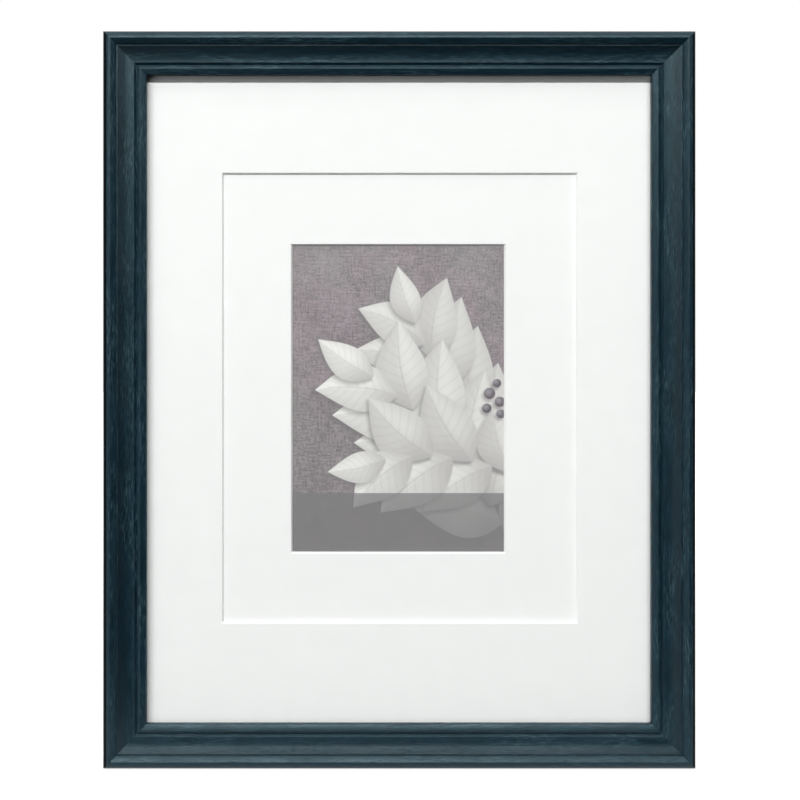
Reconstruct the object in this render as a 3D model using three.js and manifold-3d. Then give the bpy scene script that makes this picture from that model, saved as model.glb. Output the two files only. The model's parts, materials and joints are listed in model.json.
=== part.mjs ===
// A matted picture frame for the wall. Four mitred rails hold glass, a double window mat, a print,
// a filler board and a backboard, and eight turn buttons on the back keep that stack in.
// Millimetres, +Z up. The picture faces -Y and the wall lies at +Y. The origin is the hanging point:
// in the wall plane, at the top of the middle notch of the upper hanger.
import * as THREE from 'three';
import { mergeVertices } from 'three/addons/utils/BufferGeometryUtils.js';
import Module from 'manifold-3d';

const wasm = await Module();
wasm.setup();

// The sheets in the rebate share one cut size, 11 by 14 inches. Play is their room at each edge of the
// rebate, and gap is the room between one sheet and the next.
const SHEET = { width: 279.4, height: 355.6, play: 0.8, gap: 0.1 };
const GLASS = { thickness: 2 };
const FILLER = { thickness: 1.6 };
const BACKBOARD = { thickness: 3, recess: 0.1 };

// The print is 5 by 7 inches and hangs from the inner mat on two paper tapes. A tape's inset is that of
// its middle from the side of the print.
const PRINT = { width: 127, height: 177.8, thickness: 0.25 };
const TAPE = { width: 22, onMat: 14, onPrint: 11, thickness: 0.12, inset: 25.5, step: 1.2 };

// Both mats have a window with a slanting cut, the bevel, whose width is as seen from the front. The inner
// mat laps over the edges of the print, and the outer one leaves the inner one to be seen as a border, the
// reveal.
const MAT = { thickness: 1.4, bevel: 1, lap: 6.85, reveal: 37.3 };

// Section of the rails. Insets and widths run inward from the outer edge, and heights run forward from
// the seat of the rebate, where the glass lies. The lip, the quirk and the bead are set back from the
// sight edge, and the cove takes up what is left between the fillet and the lip. It starts straight, and
// its bend is placed by shares of its width and drop.
const RAIL = {
  width: 22,
  rebateWidth: 6.5,
  glueLine: 0.1,
  shoulderHeight: 5.4,
  crestInset: 4.3,
  crestHeight: 9,
  fallBow: 0.08,
  filletInset: 6.95,
  filletTop: 7.15,
  filletBottom: 6.5,
  filletWidth: 0.7,
  bendAcross: 0.4,
  bendDown: 0.59,
  coveBow: 0.25,
  lipSetback: 6.2,
  lipHeight: 4.05,
  quirkSetback: 5.05,
  quirkWidth: 0.3,
  quirkFloor: 3,
  beadWidth: 4.6,
  beadFoot: 3.5,
  beadRise: 1.6,
  beadRiseBow: 0.1,
  beadHeight: 4.2,
  beadFallBow: 0.1,
  sightHeight: 2.8,
};

// Two V-shaped nails cross each mitre, sunk below the back. Their points lie in from the outer edge and
// back from the wall of the rebate.
const V_NAIL = {
  fromEdge: 5.8, fromRebate: 3.1, leg: 4.4, thickness: 0.5, height: 8, sink: 0.5, clearance: 0.15,
};

// Turn buttons swing on their screws. Bite is how far one reaches over the backboard.
const BUTTON = { fromCorner: 78, pivotRadius: 5, tipRadius: 3.1, bite: 8, thickness: 1, turnGap: 0.15 };
const SCREW = {
  shankRadius: 1.45, length: 10, tip: 3, headRadius: 3, headRim: 0.5, headHeight: 1.7,
  crossLength: 3.4, crossWidth: 0.9, crossDepth: 0.9, clearance: 0.2,
};

// The hangers are strips whose raised middle has notches along its lower edge for the wall nail. A foot at
// each end takes a nail, set in from the end.
const HANGER = {
  height: 9.5, thickness: 0.8, foot: 8.3, rampRun: 2.2, standoff: 2.2, seatGap: 0.1,
  notches: 7, pitch: 3, notchWidth: 2.6, notchDepth: 1.8, notchMargin: 1.2, nailInset: 4,
};
const NAIL = { shankRadius: 0.7, length: 9, tip: 2, headRadius: 1.7, headHeight: 0.7, clearance: 0.2 };

// Soft bumpers keep the back off the wall, and spare is the room they leave behind what stands out most.
const BUMPER = { fromCorner: 24, radius: 5, spare: 0.4, rounding: 0.8, seatGap: 0.1 };

const CURVE_STEPS = 9;
const ROUND_STEPS = 16;
const OVERRUN = 1;

const FINISH = {
  paint: { color: 0x1f353f, roughness: 0.45, metalness: 0 },
  glass: { color: 0xf2f6f5, roughness: 0.03, metalness: 0, transparent: true, opacity: 0.15 },
  mat: { color: 0xf3f2ef, roughness: 0.9, metalness: 0 },
  print: { color: 0x9c9499, roughness: 0.5, metalness: 0 },
  tape: { color: 0xe4ddcc, roughness: 0.85, metalness: 0 },
  card: { color: 0xb19a79, roughness: 0.95, metalness: 0 },
  backboard: { color: 0x2b2a29, roughness: 0.9, metalness: 0 },
  zinc: { color: 0xb9bcc0, roughness: 0.38, metalness: 1 },
  steel: { color: 0x8d9094, roughness: 0.45, metalness: 1 },
  rubber: { color: 0x26272a, roughness: 0.8, metalness: 0 },
};

// The sheets, from the backboard forward to the glass, and the depth of rebate that they fill.
const LAYERS = {};
let rebateDepth = BACKBOARD.recess;
for (const [name, thickness] of [
  ['backboard', BACKBOARD.thickness],
  ['filler', FILLER.thickness],
  ['tape', TAPE.thickness],
  ['print', PRINT.thickness],
  ['innerMat', MAT.thickness],
  ['outerMat', MAT.thickness],
  ['glass', GLASS.thickness],
]) {
  LAYERS[name] = { back: rebateDepth, thickness, middle: rebateDepth + thickness / 2 };
  rebateDepth += thickness + SHEET.gap;
}

const EDGE = RAIL.width - RAIL.rebateWidth + SHEET.play;
const OUTER = { width: SHEET.width + 2 * EDGE, height: SHEET.height + 2 * EDGE };
const INNER_WINDOW = { width: PRINT.width - 2 * MAT.lap, height: PRINT.height - 2 * MAT.lap };
const OUTER_WINDOW = {
  width: INNER_WINDOW.width + 2 * MAT.reveal,
  height: INNER_WINDOW.height + 2 * MAT.reveal,
};
const BACK_FLAT = RAIL.width - RAIL.rebateWidth;
const PIVOT_INSET = BACK_FLAT / 2;
const V_NAIL_INSETS = [V_NAIL.fromEdge, BACK_FLAT - V_NAIL.fromRebate];
const BUTTON_REACH = PIVOT_INSET + SHEET.play + BUTTON.bite;
const HEAD_SEAT = BUTTON.thickness + 2 * BUTTON.turnGap;
const NOTCH_INSET = PIVOT_INSET + HANGER.height / 2 - HANGER.notchDepth;
const NOTCH_ROW = (HANGER.notches - 1) * HANGER.pitch + HANGER.notchWidth;
const RAISED_HALF = NOTCH_ROW / 2 + HANGER.notchMargin;
const HANGER_HALF = RAISED_HALF + HANGER.rampRun + HANGER.foot;
const NAIL_AT = HANGER_HALF - HANGER.nailInset;
const HANGER_TOP = HANGER.seatGap + HANGER.standoff + HANGER.thickness;
const WALL_GAP = Math.max(HANGER_TOP, HEAD_SEAT + SCREW.headHeight) + BUMPER.spare;

// Each side is built as the top one is, along X with its outer edge up, and turned about the picture.
// Ends are named for -X and then +X before that turn, and corner is the one at the +X end.
const SIDES = [
  { name: 'top', turn: 0, ends: ['left', 'right'], corner: 'top_right', hanger: true, bumpers: true },
  { name: 'right', turn: 0.5 * Math.PI, ends: ['upper', 'lower'], corner: 'bottom_right' },
  { name: 'bottom', turn: Math.PI, ends: ['right', 'left'], corner: 'bottom_left', bumpers: true },
  { name: 'left', turn: -0.5 * Math.PI, ends: ['lower', 'upper'], corner: 'top_left', hanger: true },
];
for (const side of SIDES) {
  const upright = side.name === 'left' || side.name === 'right';
  side.length = upright ? OUTER.height : OUTER.width;
  side.outerEdge = (upright ? OUTER.width : OUTER.height) / 2;
}

function solid(geometry) {
  const bare = geometry.clone();
  bare.deleteAttribute('normal');
  bare.deleteAttribute('uv');
  const merged = mergeVertices(bare);
  const vertProperties = new Float32Array(merged.attributes.position.array);
  const triVerts = new Uint32Array(merged.index.array);
  return new wasm.Manifold(new wasm.Mesh({ numProp: 3, vertProperties, triVerts }));
}

function toGeometry(body) {
  const { vertProperties, triVerts } = body.getMesh();
  const geometry = new THREE.BufferGeometry();
  geometry.setAttribute('position', new THREE.BufferAttribute(vertProperties, 3));
  geometry.setIndex(new THREE.BufferAttribute(triVerts, 1));
  geometry.computeVertexNormals();
  return geometry;
}

function carve(geometry, cutters) {
  return toGeometry(cutters.reduce((body, cutter) => body.subtract(solid(cutter)), solid(geometry)));
}

function extrude(shape, depth) {
  return new THREE.ExtrudeGeometry(shape, { depth, bevelEnabled: false, curveSegments: CURVE_STEPS });
}

// A flat plate: the shape lies in XZ and the thickness runs from y = 0 towards the wall.
function plate(shape, thickness) {
  return extrude(shape, thickness).rotateX(Math.PI / 2).translate(0, thickness, 0);
}

// A turned piece about Y, from [radius, y] points that start and end on the axis.
function turned(profile) {
  return new THREE.LatheGeometry(profile.map(([radius, y]) => new THREE.Vector2(radius, y)), ROUND_STEPS);
}

// A cutter for a round hole that is open at the back plane and as deep as given.
function bore(radius, depth) {
  const length = depth + OVERRUN;
  return new THREE.CylinderGeometry(radius, radius, length, ROUND_STEPS).translate(0, length / 2 - depth, 0);
}

// A bent strip, centred on z = 0: the path is one face in (x, y), thickened to its left.
function bentStrip(path, thickness, width) {
  const points = path.map(([x, y]) => new THREE.Vector2(x, y));
  const last = points.length - 1;
  const leftOf = (from, to) => new THREE.Vector2(from.y - to.y, to.x - from.x).normalize();
  const offset = points.map((point, i) => {
    const before = leftOf(points[Math.max(i - 1, 0)], points[Math.max(i, 1)]);
    const after = leftOf(points[Math.min(i, last - 1)], points[Math.min(i + 1, last)]);
    const mitre = thickness / (1 + before.dot(after));
    return before.add(after).multiplyScalar(mitre).add(point);
  });
  return extrude(new THREE.Shape([...points, ...offset.reverse()]), width).translate(0, 0, -width / 2);
}

// Draws a slightly bowed face to a point. The bow is its height over the chord, to the left of the way.
function bowTo(outline, x, y, bow) {
  const start = outline.currentPoint.clone();
  const end = new THREE.Vector2(x, y);
  const left = new THREE.Vector2(start.y - y, x - start.x).normalize();
  const control = start.add(end).multiplyScalar(0.5).addScaledVector(left, 2 * bow);
  outline.quadraticCurveTo(control.x, control.y, x, y);
}

// The moulding's section in (inset, height above the back): a round shoulder up to the crest, a bowed fall
// to a small fillet, a cove that levels out at a lip, a quirk, and a bead down to the sight edge.
function railSection() {
  const seat = rebateDepth;
  const coveStart = RAIL.filletInset + RAIL.filletWidth;
  const lip = RAIL.width - RAIL.lipSetback;
  const quirk = RAIL.width - RAIL.quirkSetback;
  const beadStart = RAIL.width - RAIL.beadWidth;
  const bend = coveStart + RAIL.bendAcross * (lip - coveStart);
  const bendHeight = RAIL.filletBottom - RAIL.bendDown * (RAIL.filletBottom - RAIL.lipHeight);
  const shoulderRise = RAIL.crestHeight - RAIL.shoulderHeight;
  const section = new THREE.Shape();
  section.moveTo(0, 0);
  section.lineTo(0, seat + RAIL.shoulderHeight);
  section.absellipse(
    RAIL.crestInset, seat + RAIL.shoulderHeight, RAIL.crestInset, shoulderRise, Math.PI, Math.PI / 2, true,
  );
  bowTo(section, RAIL.filletInset, seat + RAIL.filletTop, RAIL.fallBow);
  section.lineTo(RAIL.filletInset, seat + RAIL.filletBottom);
  section.lineTo(coveStart, seat + RAIL.filletBottom);
  section.lineTo(bend, seat + bendHeight);
  bowTo(section, lip, seat + RAIL.lipHeight, -RAIL.coveBow);
  section.lineTo(quirk, seat + RAIL.quirkFloor);
  section.lineTo(quirk + RAIL.quirkWidth, seat + RAIL.quirkFloor);
  section.lineTo(beadStart, seat + RAIL.beadFoot);
  bowTo(section, beadStart + RAIL.beadRise, seat + RAIL.beadHeight, RAIL.beadRiseBow);
  bowTo(section, RAIL.width, seat + RAIL.sightHeight, RAIL.beadFallBow);
  section.lineTo(RAIL.width, seat);
  section.lineTo(BACK_FLAT, seat);
  section.lineTo(BACK_FLAT, 0);
  section.closePath();
  return section;
}

// A rail along X with its outer edge at z = 0 and its back at y = 0. Each point of the section moves in
// from both ends by its own inset, which cuts the mitres, and half the glue line is left at each.
function rail(length, cutters) {
  const bar = extrude(railSection(), length);
  const position = bar.attributes.position;
  for (let i = 0; i < position.count; i += 1) {
    const trim = position.getX(i) + RAIL.glueLine * Math.SQRT1_2;
    position.setZ(i, position.getZ(i) > length / 2 ? length - trim : trim);
  }
  const alongX = new THREE.Matrix4().makeBasis(
    new THREE.Vector3(0, 0, -1), new THREE.Vector3(0, -1, 0), new THREE.Vector3(-1, 0, 0),
  );
  bar.applyMatrix4(alongX).translate(length / 2, 0, 0);
  return carve(bar, cutters);
}

// The V-nail in plan: its point at the origin and its legs along +X and +Z, grown for its slot.
function vNail(height, grown = 0) {
  const half = V_NAIL.thickness / 2 + grown;
  const leg = V_NAIL.leg + grown;
  const outline = [[-half, -half], [leg, -half], [leg, half], [half, half], [half, leg], [-half, leg]];
  return plate(new THREE.Shape(outline.map(([x, z]) => new THREE.Vector2(x, z))), height);
}

function vNailSlot(end) {
  const depth = V_NAIL.sink + V_NAIL.height + V_NAIL.clearance;
  const slot = vNail(depth + OVERRUN, V_NAIL.clearance).translate(0, -depth, 0);
  return end > 0 ? slot : slot.rotateY(-Math.PI / 2);
}

function railCutters(side) {
  const cutters = [];
  for (const end of [-1, 1]) {
    const pilot = bore(SCREW.shankRadius + SCREW.clearance, SCREW.length - HEAD_SEAT + SCREW.clearance);
    cutters.push(pilot.translate(end * (side.length / 2 - BUTTON.fromCorner), 0, -PIVOT_INSET));
    for (const inset of V_NAIL_INSETS) {
      cutters.push(vNailSlot(end).translate(end * (side.length / 2 - inset), 0, -inset));
    }
    if (side.hanger) {
      const nailHole = bore(NAIL.shankRadius + NAIL.clearance, NAIL.length);
      cutters.push(nailHole.translate(end * NAIL_AT, 0, -PIVOT_INSET));
    }
  }
  return cutters;
}

function sheet(thickness) {
  return new THREE.BoxGeometry(SHEET.width, thickness, SHEET.height);
}

// A mat's window widens towards the front by the bevel.
function windowMat(opening) {
  const depth = MAT.thickness + 2 * OVERRUN;
  const cutter = new THREE.BoxGeometry(opening.width, depth, opening.height);
  const position = cutter.attributes.position;
  for (let i = 0; i < position.count; i += 1) {
    const spread = MAT.bevel * (0.5 - position.getY(i) / MAT.thickness);
    position.setX(i, position.getX(i) + Math.sign(position.getX(i)) * spread);
    position.setZ(i, position.getZ(i) + Math.sign(position.getZ(i)) * spread);
  }
  return carve(sheet(MAT.thickness), [cutter]);
}

// A tape lies on the back of the print and steps forward, past its top edge, onto the back of the mat.
function printTape() {
  const rise = LAYERS.innerMat.back - SHEET.gap - TAPE.thickness - LAYERS.tape.back;
  const path = [[-TAPE.onPrint, 0], [0, 0], [TAPE.step, -rise], [TAPE.onMat, -rise]];
  return bentStrip(path, TAPE.thickness, TAPE.width).rotateY(-Math.PI / 2);
}

// A turn button points at -Z from its pivot: two round ends of unlike size joined by tangents.
function turnButton() {
  const tipAt = BUTTON_REACH - BUTTON.tipRadius;
  const tangent = Math.acos((BUTTON.pivotRadius - BUTTON.tipRadius) / tipAt);
  const outline = new THREE.Shape();
  outline.absarc(0, 0, BUTTON.pivotRadius, tangent, 2 * Math.PI - tangent, false);
  outline.absarc(tipAt, 0, BUTTON.tipRadius, -tangent, tangent, false);
  outline.closePath();
  const hole = new THREE.Path().absarc(0, 0, SCREW.shankRadius + SCREW.clearance, 0, 2 * Math.PI, true);
  outline.holes.push(hole);
  return plate(outline, BUTTON.thickness).rotateY(Math.PI / 2);
}

// A wood screw with its domed, cross-slotted head on y = 0 and its point towards -Y.
function screw() {
  const domeSteps = 4;
  const profile = [
    [0, -SCREW.length],
    [SCREW.shankRadius, SCREW.tip - SCREW.length],
    [SCREW.shankRadius, 0],
    [SCREW.headRadius, 0],
  ];
  for (let i = 0; i <= domeSteps; i += 1) {
    const angle = (i / domeSteps) * (Math.PI / 2);
    const rise = SCREW.headHeight - SCREW.headRim;
    const radius = i < domeSteps ? SCREW.headRadius * Math.cos(angle) : 0;
    profile.push([radius, SCREW.headRim + rise * Math.sin(angle)]);
  }
  const depth = SCREW.crossDepth + OVERRUN;
  const middle = SCREW.headHeight - SCREW.crossDepth + depth / 2;
  const slot = new THREE.BoxGeometry(SCREW.crossLength, depth, SCREW.crossWidth).translate(0, middle, 0);
  return carve(turned(profile), [slot, slot.clone().rotateY(Math.PI / 2)]);
}

// A hanger with its feet on y = 0: a strip with round ends and a raised middle, notched from below.
function hanger() {
  const half = HANGER_HALF;
  const ramp = RAISED_HALF + HANGER.rampRun;
  const lowerEdge = -HANGER.height / 2;
  const rise = [[-half, 0], [-ramp, 0], [-RAISED_HALF, HANGER.standoff]];
  const fall = [[RAISED_HALF, HANGER.standoff], [ramp, 0], [half, 0]];
  const radius = HANGER.height / 2;
  const outline = new THREE.Shape();
  outline.absarc(half - radius, 0, radius, -Math.PI / 2, Math.PI / 2, false);
  outline.absarc(radius - half, 0, radius, Math.PI / 2, 1.5 * Math.PI, false);
  const through = HANGER.standoff + HANGER.thickness + 2 * OVERRUN;
  const blank = solid(bentStrip([...rise, ...fall], HANGER.thickness, HANGER.height + OVERRUN));
  const strip = blank.intersect(solid(plate(outline, through).translate(0, -OVERRUN, 0)));
  const widen = 1 + OVERRUN / HANGER.notchDepth;
  const cutters = [-1, 1].map((end) => bore(NAIL.shankRadius + NAIL.clearance, OVERRUN)
    .translate(end * NAIL_AT, OVERRUN / 2, 0));
  for (let i = 0; i < HANGER.notches; i += 1) {
    const x = (i - (HANGER.notches - 1) / 2) * HANGER.pitch;
    const notch = new THREE.Shape();
    notch.moveTo(x, lowerEdge + HANGER.notchDepth);
    notch.lineTo(x - widen * HANGER.notchWidth / 2, lowerEdge - OVERRUN);
    notch.lineTo(x + widen * HANGER.notchWidth / 2, lowerEdge - OVERRUN);
    notch.closePath();
    cutters.push(plate(notch, through).translate(0, -OVERRUN, 0));
  }
  return carve(toGeometry(strip), cutters);
}

function hangerNail() {
  return turned([
    [0, -NAIL.length],
    [NAIL.shankRadius, NAIL.tip - NAIL.length],
    [NAIL.shankRadius, 0],
    [NAIL.headRadius, 0],
    [NAIL.headRadius, NAIL.headHeight],
    [0, NAIL.headHeight],
  ]);
}

function bumper() {
  return turned([
    [0, 0],
    [BUMPER.radius, 0],
    [BUMPER.radius, WALL_GAP - BUMPER.seatGap - BUMPER.rounding],
    [BUMPER.radius - BUMPER.rounding, WALL_GAP - BUMPER.seatGap],
    [0, WALL_GAP - BUMPER.seatGap],
  ]);
}

function add(group, name, geometry, finish, x = 0, y = 0, z = 0) {
  const mesh = new THREE.Mesh(geometry, new THREE.MeshStandardMaterial(finish));
  mesh.name = name;
  mesh.position.set(x, y, z);
  group.add(mesh);
}

// The sheets in the rebate, centred on the picture, with the back of the rails at y = 0.
function sheetStack() {
  const stack = new THREE.Group();
  add(stack, 'glass', sheet(GLASS.thickness), FINISH.glass, 0, -LAYERS.glass.middle);
  add(stack, 'outer_mat', windowMat(OUTER_WINDOW), FINISH.mat, 0, -LAYERS.outerMat.middle);
  add(stack, 'inner_mat', windowMat(INNER_WINDOW), FINISH.mat, 0, -LAYERS.innerMat.middle);
  const print = new THREE.BoxGeometry(PRINT.width, PRINT.thickness, PRINT.height);
  add(stack, 'picture_print', print, FINISH.print, 0, -LAYERS.print.middle);
  for (const [name, end] of [['left', -1], ['right', 1]]) {
    const x = end * (PRINT.width / 2 - TAPE.inset);
    const y = -LAYERS.tape.back - TAPE.thickness;
    add(stack, `print_tape_${name}`, printTape(), FINISH.tape, x, y, PRINT.height / 2);
  }
  add(stack, 'filler_board', sheet(FILLER.thickness), FINISH.card, 0, -LAYERS.filler.middle);
  add(stack, 'backboard', sheet(BACKBOARD.thickness), FINISH.backboard, 0, -LAYERS.backboard.middle);
  return stack;
}

// One side of the frame: its rail, the V-nails at its +X end and what is fixed to its back.
function frameSide(side) {
  const group = new THREE.Group();
  group.rotation.y = side.turn;
  const pivotZ = side.outerEdge - PIVOT_INSET;
  add(group, `rail_${side.name}`, rail(side.length, railCutters(side)), FINISH.paint, 0, 0, side.outerEdge);
  for (const [i, inset] of V_NAIL_INSETS.entries()) {
    const name = `v_nail_${side.corner}_${i === 0 ? 'outer' : 'inner'}`;
    const y = -V_NAIL.sink - V_NAIL.height;
    add(group, name, vNail(V_NAIL.height), FINISH.steel, side.length / 2 - inset, y, side.outerEdge - inset);
  }
  for (const [i, end] of [-1, 1].entries()) {
    const place = `${side.name}_${side.ends[i]}`;
    const pivotX = end * (side.length / 2 - BUTTON.fromCorner);
    add(group, `turn_button_${place}`, turnButton(), FINISH.zinc, pivotX, BUTTON.turnGap, pivotZ);
    add(group, `turn_screw_${place}`, screw(), FINISH.steel, pivotX, HEAD_SEAT, pivotZ);
    if (side.bumpers) {
      const x = end * (side.length / 2 - BUMPER.fromCorner);
      add(group, `bumper_${place}`, bumper(), FINISH.rubber, x, BUMPER.seatGap, pivotZ);
    }
    if (side.hanger) {
      const headSeat = 2 * HANGER.seatGap + HANGER.thickness;
      const name = `hanger_${side.name}_nail_${side.ends[i]}`;
      add(group, name, hangerNail(), FINISH.steel, end * NAIL_AT, headSeat, pivotZ);
    }
  }
  if (side.hanger) {
    add(group, `hanger_${side.name}`, hanger(), FINISH.zinc, 0, HANGER.seatGap, pivotZ);
  }
  return group;
}

const pictureFrame = new THREE.Group();
pictureFrame.add(sheetStack(), ...SIDES.map(frameSide));
pictureFrame.position.set(0, -WALL_GAP, NOTCH_INSET - OUTER.height / 2);

export default pictureFrame;
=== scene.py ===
"""The looks of a matted picture frame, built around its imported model.

Everything is in metres in the frame of that model: +Z is up, the picture faces -Y, the wall is the plane
y = 0 and the origin is the hanging point. Sizes of the pieces are written in millimetres.
"""

import json
import logging
import math
from abc import ABC, abstractmethod
from collections.abc import Iterator, Mapping, Sequence
from dataclasses import dataclass
from enum import Enum
from functools import cache

import bmesh
import bpy
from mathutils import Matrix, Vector

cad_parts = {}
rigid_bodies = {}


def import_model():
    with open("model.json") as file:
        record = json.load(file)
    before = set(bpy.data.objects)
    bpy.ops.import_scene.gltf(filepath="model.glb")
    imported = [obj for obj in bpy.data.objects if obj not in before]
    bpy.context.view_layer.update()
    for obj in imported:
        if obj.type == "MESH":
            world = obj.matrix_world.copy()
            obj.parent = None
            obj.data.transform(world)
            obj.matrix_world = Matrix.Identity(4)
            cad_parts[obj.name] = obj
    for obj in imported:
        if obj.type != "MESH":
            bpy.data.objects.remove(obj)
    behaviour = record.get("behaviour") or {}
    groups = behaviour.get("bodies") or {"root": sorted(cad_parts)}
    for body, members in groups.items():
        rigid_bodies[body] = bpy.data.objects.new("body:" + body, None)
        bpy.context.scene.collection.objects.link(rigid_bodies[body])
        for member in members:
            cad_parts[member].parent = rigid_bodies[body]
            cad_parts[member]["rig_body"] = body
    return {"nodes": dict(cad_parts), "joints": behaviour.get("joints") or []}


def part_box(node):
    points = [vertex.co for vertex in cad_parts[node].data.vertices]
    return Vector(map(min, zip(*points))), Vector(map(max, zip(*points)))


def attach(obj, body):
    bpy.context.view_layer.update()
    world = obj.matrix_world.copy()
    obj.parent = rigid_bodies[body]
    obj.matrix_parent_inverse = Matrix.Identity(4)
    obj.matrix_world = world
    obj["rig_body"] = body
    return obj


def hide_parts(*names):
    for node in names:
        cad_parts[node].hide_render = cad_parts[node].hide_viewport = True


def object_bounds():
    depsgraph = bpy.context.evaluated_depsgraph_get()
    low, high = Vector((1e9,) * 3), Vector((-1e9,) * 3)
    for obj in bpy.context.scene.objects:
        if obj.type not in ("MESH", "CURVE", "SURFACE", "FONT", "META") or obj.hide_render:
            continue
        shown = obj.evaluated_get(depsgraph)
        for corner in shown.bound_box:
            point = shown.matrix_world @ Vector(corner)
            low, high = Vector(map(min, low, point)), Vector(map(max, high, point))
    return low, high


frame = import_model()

CAD_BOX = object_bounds()
MM = 0.001
QUARTER = math.pi / 2
# Points nearer to each other than this are one point.
DOUBLED = 0.005 * MM
# Sizes that fixings share with their bores and slots, in millimetres.
SCREW_SHANK = 1.45
NAIL_SHANK = 0.7
V_NAIL_SHEET = 0.5

Colour = tuple[float, float, float]
Point = tuple[float, float]
Mesh = bpy.types.Mesh
Tree = bpy.types.NodeTree
Plug = bpy.types.NodeSocket
Value = Plug | bpy.types.ID | float | tuple | list
Inputs = Mapping[str | int, Value]

log = logging.getLogger("picture_frame")


class Slot(Enum):
    """Names of the record's material slots, one for each kind of new piece."""

    MOULDING = "moulding_paint"
    GLASS = "clear_glass"
    MAT = "mat_board"
    BACKING = "backing_board"
    ZINC = "zinc_plate"
    STEEL = "fastener_steel"
    RUBBER = "bumper_rubber"


class Side(Enum):
    """The sides of the frame, with the turn about +Y that brings the top one there."""

    TOP = 0.0
    RIGHT = QUARTER
    BOTTOM = math.pi
    LEFT = -QUARTER

    @property
    def level(self) -> bool:
        """Whether its rail lies level."""
        return self in (Side.TOP, Side.BOTTOM)


class Socket(Enum):
    """Kinds of socket on a node group."""

    NUMBER = "NodeSocketFloat"
    COUNT = "NodeSocketInt"
    VECTOR = "NodeSocketVector"
    COLOUR = "NodeSocketColor"
    GEOMETRY = "NodeSocketGeometry"
    OBJECT = "NodeSocketObject"
    MATERIAL = "NodeSocketMaterial"


class TreeKind(Enum):
    """Kinds of node tree."""

    SHADER = "ShaderNodeTree"
    GEOMETRY = "GeometryNodeTree"


Sockets = Mapping[str, Socket]


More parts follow.
